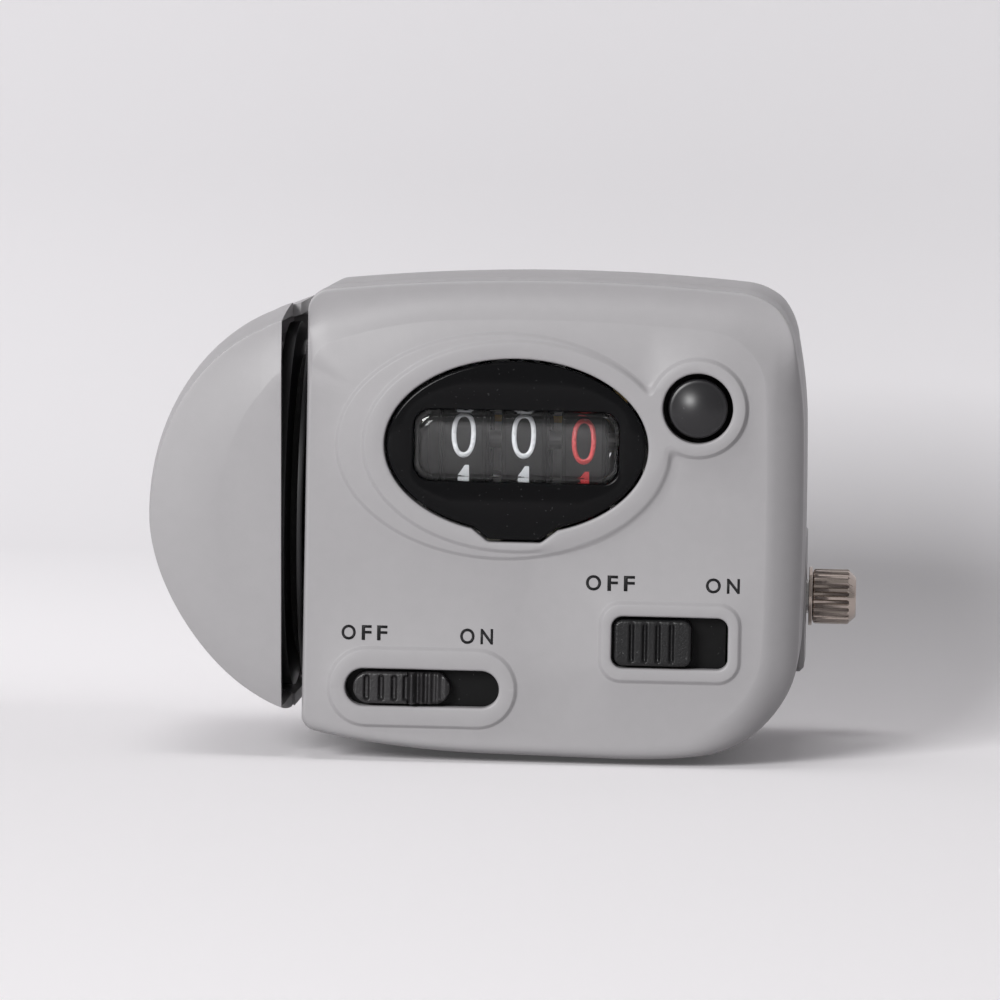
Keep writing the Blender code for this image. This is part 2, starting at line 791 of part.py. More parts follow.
def rear_housing():
    """The rear shell, with its screw bosses, the door opening and the posts of the counter frame."""
    start = split_y + fit_gap / 2
    rings = [
        (inner_rear_y, housing_outline(housing_wall + rear_edge_round)),
        (inner_rear_y - rear_edge_round, housing_outline(housing_wall)),
        (start, housing_outline(housing_wall)),
        (start, housing_outline(0)),
        (rear_y - rear_edge_round, housing_outline(0)),
        (rear_y - rear_edge_round * edge_round_share, housing_outline(rear_edge_round * edge_round_share)),
        (rear_y, housing_outline(rear_edge_round)),
    ]
    body = loft("rear_housing", "Y", rings)
    half_skin = rear_y - housing_wall / 2
    raised = []
    for spot in housing_screws:
        raised.append(rod("screw_boss", "Y", spot, boss_radius, start, half_skin))
    for spot in ear_screws:
        raised.append(rod("ear_boss", "Y", spot, boss_radius, inner_rear_y - ear_boss_length, half_skin))
    for spot in frame_posts:
        raised.append(rod("frame_post", "Y", spot, frame_post_radius, frame_back + fit_gap, half_skin,
                          tiny_facets))
    join(body, *raised)
    outside = rear_y + cut_overrun
    inside = inner_rear_y - cut_overrun
    cuts = []
    for spot in housing_screws:
        cuts.append(rod("screw_cut", "Y", spot, screw_pilot_radius, start - cut_overrun, outside,
                        tiny_facets))
        cuts.append(rod("head_cut", "Y", spot, screw_head_radius + running_gap,
                        rear_y - screw_head_height - fit_gap, outside))
    for spot in ear_screws:
        cuts.append(rod("ear_cut", "Y", spot, screw_pilot_radius, inner_rear_y - ear_boss_length
                        + boss_inset, outside, tiny_facets))
    for spot in bracket_screw_places:
        cuts.append(rod("bracket_cut", "Y", spot, screw_pilot_radius, inside, outside, tiny_facets))
    cuts.append(rod("door_cut", "Y", (cell_x, cell_height), door_radius + running_gap, inside, outside,
                    round_facets))
    cuts.append(rod("bush_cut", "X", wheel_centre, bush_radius + running_gap, housing_left - cut_overrun,
                    housing_left + housing_wall + cut_overrun))
    cut(body, *cuts)
    return finish(body, "body_plastic", (housing_middle, rear_y, housing_centre_height))


def pod_shell(name, levels, cavity_levels):
    """A pod half: rings of level and inset, less a cavity that is open to the slot."""
    body = loft(name, "Y", [(level, pod_outline(inset)) for level, inset in levels])
    cavity = loft("cavity", "Y", [(level, pod_outline(inset, cut_overrun)) for level, inset in cavity_levels])
    return cut(body, cavity)


def pod_cover():
    """The front half of the pod round the measuring wheel."""
    front = face_y + pod_set_back
    back = face_y + pod_split_depth - fit_gap / 2
    slope = [(front + depth * face_border_depth, share * pod_border_width)
             for depth, share in zip(border_depth_shares, border_inset_shares)]
    hollow = [(level + pod_wall, inset + pod_wall) for level, inset in slope]
    body = pod_shell("pod_cover", slope + [(back, 0)], hollow + [(back + cut_overrun, pod_wall)])
    skin = front + pod_wall / 2
    bosses = [rod("boss", "Y", spot, boss_radius, skin, back) for spot in pod_screws]
    join(body, *bosses)
    pilots = [rod("pilot", "Y", spot, screw_pilot_radius, back - screw_bite - fit_gap, back + cut_overrun,
                  tiny_facets) for spot in pod_screws]
    cut(body, *pilots)
    return finish(body, "body_plastic", (pod_edge, front, pod_middle_height))


def pod_frame():
    """The rear half of the pod: the wheel bearing, and the ears that bridge the line slot."""
    start = face_y + pod_split_depth + fit_gap / 2
    back = face_y + pod_set_back + pod_depth
    early = pod_edge_round * edge_round_share
    levels = [(start, 0), (back - pod_edge_round, 0), (back - early, early), (back, pod_edge_round)]
    hollow = [(start - cut_overrun, pod_wall), (back - pod_edge_round - pod_wall, pod_wall),
              (back - pod_wall, pod_wall + pod_edge_round / 2)]
    body = pod_shell("pod_frame", levels, hollow)
    raised = [rod("bearing_boss", "X", wheel_centre, pod_boss_radius, pod_left + pod_wall / 2,
                  pod_left + pod_wall + pod_boss_reach, round_facets)]
    for spot in pod_screws:
        raised.append(rod("boss", "Y", spot, boss_radius, start, back - pod_wall / 2))
    for height in ear_heights:
        raised.append(block("ear", (pod_edge - slot_width, rear_y + fit_gap, height - ear_height / 2),
                            (housing_left + ear_reach, rear_y + fit_gap + ear_thickness,
                             height + ear_height / 2)))
    for height in ear_lug_heights:
        raised.append(block("lug", (housing_left, rear_y + fit_gap, height - ear_lug_height / 2),
                            (housing_left + ear_reach, rear_y + fit_gap + ear_thickness,
                             height + ear_lug_height / 2)))
    join(body, *raised)
    cuts = [rod("bush_cut", "X", wheel_centre, bush_radius + running_gap, pod_left + pod_wall,
                pod_left + pod_wall + pod_boss_reach + cut_overrun)]
    for spot in pod_screws:
        cuts.append(rod("pilot", "Y", spot, screw_pilot_radius, start - cut_overrun, back + cut_overrun,
                        tiny_facets))
        cuts.append(rod("head_cut", "Y", spot, screw_head_radius + running_gap,
                        back - screw_head_height - fit_gap, back + cut_overrun))
    for spot in ear_screws:
        cuts.append(rod("ear_hole", "Y", spot, screw_pilot_radius, rear_y, rear_y + ear_thickness
                        + cut_overrun, tiny_facets))
    cut(body, *cuts)
    return finish(body, "body_plastic", (pod_edge, back, pod_middle_height))


# Window
def window_mask():
    """The gloss black oval with its tab, held behind the cover by a flange."""
    front = inner_face_y + fit_gap
    body = prism("window_mask", "Y", mask_outline(0), terrace_front, front + mask_flange_thickness)
    flange = prism("flange", "Y", mask_outline(mask_flange + fit_gap), front, front + mask_flange_thickness)
    join(body, flange)
    opening = rounded_box((window_x, window_height), pane_width, pane_height, pane_corner)
    cut(body, prism("opening", "Y", opening, terrace_front - cut_overrun,
                    front + mask_flange_thickness + cut_overrun))
    return finish(body, "black_gloss", (window_x, terrace_front, window_height))


def window_lens():
    """The clear pane in the mask, with a step at its back."""
    back = inner_face_y + 2 * fit_gap + mask_flange_thickness
    front = terrace_front - pane_stand_out
    centre = (window_x, window_height)
    clear_width = pane_width - 2 * fit_gap
    clear_height = pane_height - 2 * fit_gap
    nose_width = clear_width - 2 * pane_flange
    nose_height = clear_height - 2 * pane_flange
    rings = [
        (front, rounded_box(centre, nose_width, nose_height, pane_corner)),
        (terrace_front + fit_gap, rounded_box(centre, clear_width, clear_height, pane_corner)),
        (back, rounded_box(centre, clear_width, clear_height, pane_corner)),
        (back, rounded_box(centre, pane_width + 2 * pane_flange, pane_height + 2 * pane_flange, pane_corner)),
        (back + pane_flange_thickness, rounded_box(centre, pane_width + 2 * pane_flange,
                                                   pane_height + 2 * pane_flange, pane_corner)),
    ]
    body = loft("window_lens", "Y", rings)
    return finish(body, "clear_lens", (window_x, front, window_height))


# Reset button, its spring, lever and pin
button_front = face_y - front_stand_out
button_skirt_y = inner_face_y + fit_gap
spring_seat_y = frame_front - frame_plate_thickness - fit_gap
stem_end_y = face_y + reset_lever_pivot_depth - reset_lever_arm_thickness / 2 - fit_gap


def reset_button():
    """A domed button with a skirt behind the face and a stem to the reset arm."""
    shoulder = button_front + button_dome_rise
    skirt_back = button_skirt_y + button_skirt_thickness
    profile = [(button_front, 0)]
    for step in range(1, 5):
        angle = math.pi / 2 * step / 4
        profile.append((shoulder - button_dome_rise * math.cos(angle), button_radius * math.sin(angle)))
    profile += [(button_skirt_y, button_radius), (button_skirt_y, button_skirt_radius),
                (skirt_back, button_skirt_radius), (skirt_back, button_stem_radius),
                (stem_end_y, button_stem_radius), (stem_end_y, 0)]
    body = turned("reset_button", "Y", (button_x, button_height), profile)
    return finish(body, "black_plastic", (button_x, button_front, button_height))


def reset_spring():
    """A coil drawn at its pressed length on its seat, a helix of a few turns with its ends cut square."""
    length = spring_seat_y - button_skirt_y - button_skirt_thickness - button_travel - 2 * fit_gap
    rise = length - 2 * spring_wire_radius
    start = spring_seat_y - spring_wire_radius
    steps = spring_turns * spring_points_per_turn
    curve = bpy.data.curves.new("spring_path", "CURVE")
    curve.dimensions = "3D"
    curve.bevel_depth = spring_wire_radius
    curve.bevel_resolution = 1
    curve.use_fill_caps = True
    spline = curve.splines.new("POLY")
    spline.points.add(steps)
    path = []
    for step, point in enumerate(spline.points):
        angle = math.tau * step / spring_points_per_turn
        centre = (button_x + spring_coil_radius * math.cos(angle), start - rise * step / steps,
                  button_height + spring_coil_radius * math.sin(angle))
        point.co = (*centre, 1)
        path.append(centre)
    least = min(math.dist(a, b) for i, a in enumerate(path) for b in path[i + spring_points_per_turn // 2:])
    print("reset spring: least gap between its turns, mm", round((least - 2 * spring_wire_radius) * 1000, 3))
    source = bpy.data.objects.new("spring_source", curve)
    bpy.context.scene.collection.objects.link(source)
    graph = bpy.context.evaluated_depsgraph_get()
    bm = bmesh.new()
    bm.from_mesh(source.evaluated_get(graph).to_mesh())
    bpy.data.objects.remove(source)
    body = add_object("reset_spring", bm)
    return finish(body, "steel", (button_x, spring_seat_y, button_height))


def reset_lever():
    """A sleeve on the pin with a bar and one finger over each drum."""
    pivot_y, pivot_z = lever_centre
    left = left_plate_x + frame_plate_thickness + fit_gap
    right = button_x + reset_lever_arm_width / 2
    half_arm = reset_lever_arm_thickness / 2
    body = rod("reset_lever", "X", lever_centre, reset_lever_sleeve_radius, left, right_plate_x - fit_gap)
    bar = block("bar", (left, pivot_y - reset_finger_reach - half_arm, pivot_z - half_arm),
                (right_plate_x - fit_gap, pivot_y, pivot_z + half_arm))
    raised = [bar]
    for x in (tens_x, metres_x, tenths_x):
        raised.append(block("finger", (x - half_arm, pivot_y - reset_finger_reach - half_arm,
                                       pivot_z - reset_finger_drop),
                            (x + half_arm, pivot_y - reset_finger_reach + half_arm, pivot_z)))
    join(body, *raised)
    cut(body, rod("bore", "X", lever_centre, reset_pin_radius + running_gap, left - cut_overrun,
                  right + cut_overrun, tiny_facets))
    return finish(body, "nylon", (left, pivot_y, pivot_z))


def reset_arm():
    """The arm outside the right plate that the button pushes, keyed to the same pivot as the lever."""
    pivot_y, pivot_z = lever_centre
    half_arm = reset_lever_arm_thickness / 2
    left = button_x - reset_lever_arm_width / 2
    right = button_x + reset_lever_arm_width / 2
    body = rod("reset_arm", "X", lever_centre, reset_lever_sleeve_radius, left, right)
    join(body, block("arm", (left, pivot_y - half_arm, button_height - button_stem_radius),
                     (right, pivot_y + half_arm, pivot_z)))
    cut(body, rod("bore", "X", lever_centre, reset_pin_radius + running_gap, left - cut_overrun,
                  right + cut_overrun, tiny_facets))
    return finish(body, "nylon", (left, pivot_y, pivot_z))


def reset_lever_pin():
    """The pin through both plates that the lever and the arm turn on."""
    body = rod("reset_lever_pin", "X", lever_centre, reset_pin_radius, left_plate_x, lever_pin_end,
               tiny_facets)
    return finish(body, "steel", (left_plate_x, *lever_centre))


# Number drums and gears
def drum_body(name, middle):
    """A rim, a web and a hub, turned as one profile about the drum shaft."""
    left = middle - drum_band_width / 2
    right = middle + drum_band_width / 2
    bore = drum_shaft_radius + running_gap
    inside = drum_radius - drum_rim_thickness
    profile = [(left, bore), (left, drum_hub_radius), (right - drum_web_thickness, drum_hub_radius),
               (right - drum_web_thickness, inside), (left, inside), (left, drum_radius),
               (right, drum_radius), (right, bore)]
    return turned(name, "X", drum_centre, profile, round_facets)


def number_drum(name, middle, teeth, module, width):
    """A drum with a gear on its right face."""
    body = drum_body(name, middle)
    right = middle + drum_band_width / 2
    facing = transfer_centre if module == transfer_module else idler_centre
    toward = math.atan2(facing[1] - drum_centre[1], facing[0] - drum_centre[0])
    gear = bored_prism("gear", "X", gear_outline(drum_centre, teeth, module, toward), drum_centre,
                       drum_shaft_radius + running_gap, right - drum_web_thickness / 2, right + width)
    join(body, gear)
    return finish(body, "drum_black", (middle, *drum_centre))


def drums():
    """Tenths, metres and tens, from right to left."""
    number_drum("tenths_drum", tenths_x, drive_gear_teeth, drive_module, train_gear_thickness)
    number_drum("metres_drum", metres_x, drum_gear_teeth, transfer_module, drum_gear_thickness)
    number_drum("tens_drum", tens_x, drum_gear_teeth, transfer_module, drum_gear_thickness)


def transfer_pinions():
    """The two small gears that carry from one drum to the next."""
    toward = math.atan2(drum_centre[1] - transfer_centre[1], drum_centre[0] - transfer_centre[0])
    start = toward + math.pi / transfer_pinion_teeth
    outline = gear_outline(transfer_centre, transfer_pinion_teeth, transfer_module, start)
    for number, middle in ((1, metres_x), (2, tens_x)):
        left = middle + drum_band_width / 2 + fit_gap
        body = bored_prism(f"transfer_pinion_{number}", "X", outline, transfer_centre,
                           pinion_shaft_radius + running_gap, left, left + transfer_pinion_width,
                           tiny_facets)
        finish(body, "nylon", (left, *transfer_centre))


def shafts():
    """The drum shaft, pinion shaft, idler pin and wheel shaft."""
    left = left_plate_x
    body = rod("drum_shaft", "X", drum_centre, drum_shaft_radius, left, right_plate_end)
    finish(body, "steel", (left, *drum_centre))
    body = rod("pinion_shaft", "X", transfer_centre, pinion_shaft_radius, left, right_plate_end, tiny_facets)
    finish(body, "steel", (left, *transfer_centre))
    body = rod("idler_pin", "X", idler_centre, idler_pin_radius, drive_gear_x + fit_gap, right_plate_end,
               tiny_facets)
    finish(body, "steel", (right_plate_end, *idler_centre))
    body = rod("wheel_shaft", "X", wheel_centre, wheel_shaft_radius, pod_left + pod_wall + fit_gap,
               right_plate_end)
    finish(body, "steel", (wheel_right, *wheel_centre))


def wheel_pinion():
    """The small gear on the inner end of the wheel shaft."""
    toward = math.atan2(idler_centre[1] - wheel_centre[1], idler_centre[0] - wheel_centre[0])
    outline = gear_outline(wheel_centre, wheel_pinion_teeth, train_module, toward)
    body = bored_prism("wheel_pinion", "X", outline, wheel_centre, wheel_shaft_radius + running_gap / 2,
                       big_gear_x, big_gear_x + train_gear_thickness)
    return finish(body, "brass", (big_gear_x, *wheel_centre))


def idler_gear():
    """The large gear meets the wheel pinion and the small one meets the tenths drum."""
    to_wheel = math.atan2(wheel_centre[1] - idler_centre[1], wheel_centre[0] - idler_centre[0])
    to_drum = math.atan2(drum_centre[1] - idler_centre[1], drum_centre[0] - idler_centre[0])
    large = gear_outline(idler_centre, idler_teeth, train_module, to_wheel + math.pi / idler_teeth)
    small = gear_outline(idler_centre, idler_pinion_teeth, drive_module,
                         to_drum + math.pi / idler_pinion_teeth)
    body = prism("idler_gear", "X", large, big_gear_x, big_gear_x + train_gear_thickness)
    join(body, prism("small", "X", small, drive_gear_x + fit_gap, big_gear_x + train_gear_thickness / 2))
    cut(body, rod("bore", "X", idler_centre, idler_pin_radius + running_gap, drive_gear_x - cut_overrun,
                  right_plate_x, tiny_facets))
    return finish(body, "nylon", (big_gear_x, *idler_centre))


def counter_frame():
    """Two plates and a floor that carry the drum, pinion, idler, lever and wheel shafts."""
    body = block("counter_frame", (left_plate_x, frame_front, frame_low),
                 (right_plate_end, frame_back, frame_low + frame_plate_thickness))
    plates = [block("plate", (x, frame_front, frame_low), (x + frame_plate_thickness, frame_back, frame_high))
              for x in (left_plate_x, right_plate_x)]
    tab_low = button_height - button_skirt_radius
    tab_high = button_height + button_skirt_radius
    tab = block("spring_tab", (right_plate_x, frame_front - frame_plate_thickness, tab_low),
                (button_x + button_skirt_radius, frame_front + weld_overlap, tab_high))
    join(body, *plates, tab)
    start = left_plate_x - cut_overrun
    end = right_plate_end + cut_overrun
    cuts = [
        rod("drum_hole", "X", drum_centre, drum_shaft_radius + running_gap, start, end),
        rod("pinion_hole", "X", transfer_centre, pinion_shaft_radius + running_gap, start, end, tiny_facets),
        rod("wheel_hole", "X", wheel_centre, wheel_shaft_radius + running_gap, start, end),
        rod("idler_hole", "X", idler_centre, idler_pin_radius + running_gap, right_plate_x - cut_overrun, end,
            tiny_facets),
        rod("lever_hole", "X", lever_centre, reset_pin_radius + running_gap, start, end, tiny_facets),
        rod("stem_hole", "Y", (button_x, button_height), button_stem_radius + running_gap,
            frame_front - frame_plate_thickness - cut_overrun, frame_front + cut_overrun),
    ]
    cut(body, *cuts)
    return finish(body, "steel", (left_plate_x, frame_front, frame_low))


# Measuring wheel
wheel_right = housing_left - wheel_flank_gap
groove_right = wheel_right - right_flange_width
groove_left = groove_right - groove_width
wheel_left = groove_left - left_flange_width
hub_left = wheel_right - wheel_hub_length
groove_middle = (groove_left + groove_right) / 2
ring_half = groove_width * ring_width_share / 2


def measuring_wheel():
    """A turned wheel: a V groove between two flanges, a web with windows, and a long hub."""
    rim_inside = groove_bottom_radius - rim_thickness
    bore = wheel_shaft_radius + running_gap / 2
    edge = wheel_edge_break
    profile = [
        (wheel_right, bore), (wheel_right, wheel_radius - edge), (wheel_right - edge, wheel_radius),
        (groove_right, wheel_radius), (groove_middle + ring_half + edge, groove_bottom_radius),
        (groove_middle - ring_half - edge, groove_bottom_radius), (groove_left, wheel_radius),
        (wheel_left + 2 * edge, wheel_radius), (wheel_left, wheel_radius - 2 * edge),
        (wheel_left, rim_inside), (wheel_right - wheel_web_thickness, rim_inside),
        (wheel_right - wheel_web_thickness, wheel_hub_radius), (hub_left, wheel_hub_radius),
        (hub_left, bore),
    ]
    body = turned("measuring_wheel", "X", wheel_centre, profile, fine_facets)
    middle_radius = (rim_inside + wheel_hub_radius) / 2
    for centre in circle(wheel_centre, middle_radius, wheel_lightening_count):
        cut(body, rod("window", "X", centre, wheel_lightening_radius, wheel_left, wheel_right + cut_overrun,
                      tiny_facets))
    return finish(body, "black_plastic", (wheel_right, *wheel_centre))


def traction_ring():
    """The rubber ring at the bottom of the groove that the line turns."""
    inner = groove_bottom_radius + running_gap
    body = tube("traction_ring", "X", wheel_centre, inner + traction_ring_thickness, inner,
                groove_middle - ring_half, groove_middle + ring_half, fine_facets)
    return finish(body, "rubber", (groove_middle, *wheel_centre))


def bushes():
    """A sleeve and a flange turned as one, in the pod's boss and in the housing's left wall."""
    bore = wheel_shaft_radius + running_gap
    end = pod_left + pod_wall + pod_boss_reach
    seat = end + fit_gap
    back = pod_left + pod_wall + fit_gap
    flange_end = seat + bush_flange_thickness
    profile = [(back, bore), (back, bush_radius), (seat, bush_radius), (seat, bush_flange_radius),
               (flange_end, bush_flange_radius), (flange_end, bore)]
    body = turned("pod_bush", "X", wheel_centre, profile, small_facets)
    finish(body, "brass", (end, *wheel_centre))
    inside = housing_left + housing_wall + fit_gap
    profile = [(housing_left, bore), (housing_left, bush_radius), (inside, bush_radius),
               (inside, bush_flange_radius), (inside + bush_flange_thickness, bush_flange_radius),
               (inside + bush_flange_thickness, bore)]
    body = turned("housing_bush", "X", wheel_centre, profile, small_facets)
    finish(body, "brass", (inside, *wheel_centre))


def shaft_clip():
    """A sprung washer with one gap, beside the pod bush."""
    left = pod_left + pod_wall + pod_boss_reach + bush_flange_thickness + 3 * fit_gap
    body = tube("shaft_clip", "X", wheel_centre, clip_radius, wheel_shaft_radius + running_gap / 2, left,
                left + clip_thickness)
    half = wheel_shaft_radius * clip_opening_share
    cut(body, block("gap", (left - cut_overrun, wheel_y - half, pod_middle_height),
                    (left + clip_thickness + cut_overrun, wheel_y + half,
                     pod_middle_height + clip_radius + cut_overrun)))
    return finish(body, "steel", (left, *wheel_centre))


# Line lock
lock_peg = (lock_pivot[0], lock_height)
lock_lever_front = face_y + lock_lever_depth
lock_lever_back = lock_lever_front + lock_lever_thickness


def ribs(name, left, right, count, low, high, front):
    """Upright ribs across a slider's knob."""
    pitch = (right - left) / count
    half = pitch * rib_width_share / 2
    return [block(name, (left + pitch * (i + 0.5) - half, front - slider_rib_height, low),
                  (left + pitch * (i + 0.5) + half, front + slider_rib_height, high)) for i in range(count)]


def line_lock_slider():
    """A ribbed knob in the slot, a plate behind the face and a peg for the lock lever."""
    left = lock_knob_left
    right = left + lock_knob_length
    high = lock_slot_height - 2 * fit_gap
    centre = ((left + right) / 2, lock_height)
    front = face_y - lock_knob_stand_out + slider_rib_height
    knob = prism("line_lock_slider", "Y", stadium(centre, lock_knob_length, high), front,
                 slider_plate_y + slider_plate_thickness / 2)
    plate = block("plate", (left - slider_plate_margin / 2, slider_plate_y, lock_height - lock_plate_half),
                  (lock_x + lock_slot_length / 2 + slider_plate_margin / 4,
                   slider_plate_y + slider_plate_thickness, lock_height + lock_plate_half))
    half_rib = high * rib_reach_share / 2
    rib_end = left + lock_knob_length * lock_rib_span_share
    raised = ribs("rib", left + slider_rib_height * 2, rib_end, lock_rib_count, lock_height - half_rib,
                  lock_height + half_rib, front)
    peg = rod("peg", "Y", lock_peg, slider_peg_radius, slider_plate_y, lock_lever_back, tiny_facets)
    join(knob, plate, peg, *raised)
    return finish(knob, "black_plastic", (centre[0], slider_plate_y, lock_height))


def lock_lever():
    """An upright lever: a fork on the slider's peg below its pivot, a foot for the pad above."""
    x, pivot_z = lock_pivot
    half = lock_lever_width / 2
    body = rod("lock_lever", "Y", lock_pivot, half, lock_lever_front, lock_lever_back)
    foot_high = pivot_z + lock_pad_height_above_pivot + lock_pad_height / 2
    arm = block("arm", (x - half, lock_lever_front, lock_height), (x + half, lock_lever_back, pivot_z))
    neck = block("neck", (x - half * lock_neck_share, lock_lever_front, pivot_z),
                 (x + half * lock_neck_share, lock_lever_back, foot_high))
    fork_half = slider_peg_radius + running_gap + lock_fork_margin
    fork = block("fork", (x - fork_half, lock_lever_front, lock_height - slider_peg_radius),
                 (x + fork_half, lock_lever_back, lock_height + slider_peg_radius * 2 + lock_fork_margin))
    join(body, arm, neck, fork)
    gap_half = slider_peg_radius + running_gap
    slot_high = lock_height + slider_peg_radius + lock_fork_rise
    cut(body,
        block("slot", (x - gap_half, lock_lever_front - cut_overrun, lock_height - cut_overrun),
              (x + gap_half, lock_lever_back + cut_overrun, slot_high)),
        rod("bore", "Y", lock_pivot, lock_pin_radius + running_gap, lock_lever_front - cut_overrun,
            lock_lever_back + cut_overrun, tiny_facets))
    return finish(body, "nylon", (x, lock_lever_front, pivot_z))


def lock_pad():
    """The rubber pad that the lever presses on the wheel."""
    foot = lock_pivot[0] - lock_lever_width / 2 * lock_neck_share - fit_gap
    middle = lock_pivot_height + lock_pad_height_above_pivot
    end = housing_left + lock_pad_stand_back - lock_pad_thickness
    body = block("lock_pad", (end, lock_lever_front, middle - lock_pad_height / 2),
                 (foot, lock_lever_back, middle + lock_pad_height / 2))
    return finish(body, "rubber", (foot, lock_lever_front, middle))


def lock_pivot_pin():
    """A headed pin from the boss on the cover through the lock lever."""
    body = rod("lock_pivot_pin", "Y", lock_pivot, lock_pin_radius,
               lock_lever_front - lock_pin_seat, lock_lever_back + fit_gap, tiny_facets)
    join(body, rod("head", "Y", lock_pivot, lock_pin_radius * 2, lock_lever_back + fit_gap,
                   lock_lever_back + fit_gap + lock_pin_radius, tiny_facets))
    return finish(body, "steel", (lock_pivot[0], lock_lever_front, lock_pivot[1]))


# Light
def light_slider():
    """A ribbed knob in the slot, with a plate and a peg for the switch."""
    left = light_knob_left
    right = left + light_knob_length
    high = light_slot_height - 2 * fit_gap
    centre = ((left + right) / 2, light_height)
    front = face_y - lock_knob_stand_out + slider_rib_height
    knob = prism("light_slider", "Y", rounded_box(centre, light_knob_length, high, light_slot_corner), front,
                 slider_plate_y + slider_plate_thickness / 2)
    plate = block("plate", (light_x - light_slot_length / 2 - slider_plate_margin / 2, slider_plate_y,
                            light_height - light_plate_half),
                  (light_x + light_slot_length / 2, slider_plate_y + slider_plate_thickness,
                   light_height + light_plate_half))
    half_rib = high * rib_reach_share / 2
    raised = ribs("rib", left + slider_rib_height, right - slider_rib_height, light_rib_count,
                  light_height - half_rib, light_height + half_rib, front)
    peg = rod("peg", "Y", centre, slider_peg_radius, slider_plate_y, board_y - fit_gap - switch_depth / 2,
              tiny_facets)
    join(knob, plate, peg, *raised)
    return finish(knob, "black_plastic", (centre[0], slider_plate_y, light_height))


def slide_switch():
    """The switch body on the board, with a slot for the peg."""
    peg_left = light_knob_left + light_knob_length / 2
    middle = peg_left + light_travel / 2
    back = board_y - fit_gap
    half = switch_length / 2
    body = block("slide_switch", (middle - half, back - switch_depth, light_height - switch_height / 2),
                 (middle + half, back, light_height + switch_height / 2))
    slot_half = light_travel / 2 + slider_peg_radius + fit_gap
    cut(body, block("slot", (middle - slot_half, back - switch_depth - cut_overrun,
                             light_height - switch_slot_height / 2),
                    (middle + slot_half, back - switch_depth / 2 + fit_gap,
                     light_height + switch_slot_height / 2)))
    return finish(body, "steel", (middle, back, light_height))


def circuit_board():
    """The board on the two posts of the cover."""
    body = block("circuit_board", (light_x - board_width / 2, board_y, board_middle - board_height / 2),
                 (light_x + board_width / 2, board_y + board_thickness, board_middle + board_height / 2))
    return finish(body, "circuit_board", (light_x, board_y, board_middle))


def lamp():
    """A small lamp with a round nose that points up at the drums, seated on the board's upper edge."""
    base = board_middle + board_height / 2 + fit_gap
    centre = (light_x + board_width / 2 - lamp_flange_radius, board_y + board_thickness / 2)
    shoulder = base + lamp_length - lamp_radius
    profile = [(base, 0), (base, lamp_flange_radius), (base + lamp_flange_thickness, lamp_flange_radius),
               (base + lamp_flange_thickness, lamp_radius)]
    for step in range(4):
        angle = math.pi / 2 * step / 4
        profile.append((shoulder + lamp_radius * math.sin(angle), lamp_radius * math.cos(angle)))
    profile.append((base + lamp_length, 0))
    body = turned("lamp", "Z", centre, profile, small_facets)
    return finish(body, "lamp_clear", (*centre, base))


# Coin cell and door
def coin_cell():
    """A flat round cell with a lip on its front edge."""
    body = turned("coin_cell", "Y", (cell_x, cell_height),
                  [(cell_front, 0), (cell_front, cell_radius - cell_lip),
                   (cell_front + cell_lip, cell_radius - cell_lip), (cell_front + cell_lip, cell_radius),
                   (cell_front + cell_thickness, cell_radius), (cell_front + cell_thickness, 0)])
    return finish(body, "steel", (cell_x, cell_front, cell_height))


def cell_contact():
    """A strip across the front of the cell, with its ends turned back to the rear wall."""
    front = cell_front - fit_gap - contact_strip_thickness
    half = cell_radius + fit_gap + contact_strip_thickness
    low = cell_height - contact_strip_width / 2
    high = cell_height + contact_strip_width / 2
    outline = [(cell_x - half, front), (cell_x + half, front), (cell_x + half, contact_end_y),
               (cell_x + half - contact_strip_thickness, contact_end_y),
               (cell_x + half - contact_strip_thickness, front + contact_strip_thickness),
               (cell_x - half + contact_strip_thickness, front + contact_strip_thickness),
               (cell_x - half + contact_strip_thickness, contact_end_y), (cell_x - half, contact_end_y)]
    body = prism("cell_contact", "Z", outline, low, high)
    return finish(body, "brass", (cell_x, front, cell_height))


def battery_door():
    """A round door with a coin slot, turned to open, on an inner step with two lugs."""
    centre = (cell_x, cell_height)
    inner = inner_rear_y
    step_radius = door_radius - door_step_width - fit_gap
    body = turned("battery_door", "Y", centre,
                  [(inner, 0), (inner, step_radius), (rear_y - door_thickness, step_radius),
                   (rear_y - door_thickness, door_radius), (rear_y, door_radius), (rear_y, 0)], fine_facets)
    half_length = door_coin_slot_length / 2
    half_width = door_coin_slot_width / 2
    slot_floor = rear_y - door_coin_slot_depth
    cut(body, block("coin_slot", (cell_x - half_length, slot_floor, cell_height - half_width),
                    (cell_x + half_length, rear_y + cut_overrun, cell_height + half_width)))
    return finish(body, "body_plastic", (cell_x, inner, cell_height))


# Rod clamp
def clamp_bracket():
    """A floor with a fixed jaw at one end and a bored ear at the other."""
    ear_back = clamp_screw_y + jaw_sleeve_radius
    outline = [(bracket_left, bracket_y), (bracket_right, bracket_y), (bracket_right, ear_back),
               (ear_block_left, ear_back), (ear_block_left, bracket_floor), (fixed_jaw_face, bracket_floor),
               (fixed_jaw_face, clamp_rear_y), (bracket_left, clamp_rear_y)]
    body = prism("clamp_bracket", "Z", outline, clamp_low, clamp_high)
    soften(body, edge_break)
    cuts = [rod("screw_bore", "X", (clamp_screw_y, clamp_middle_height), clamp_screw_radius + running_gap,
                ear_block_left - cut_overrun, bracket_right + cut_overrun)]
    for spot in bracket_screw_places:
        cuts.append(rod("pilot", "Y", spot, screw_pilot_radius, bracket_y - cut_overrun,
                        bracket_y + bracket_screw_bite + fit_gap, tiny_facets))
    cut(body, *cuts)
    return finish(body, "body_plastic", (bracket_left, bracket_y, clamp_middle_height))


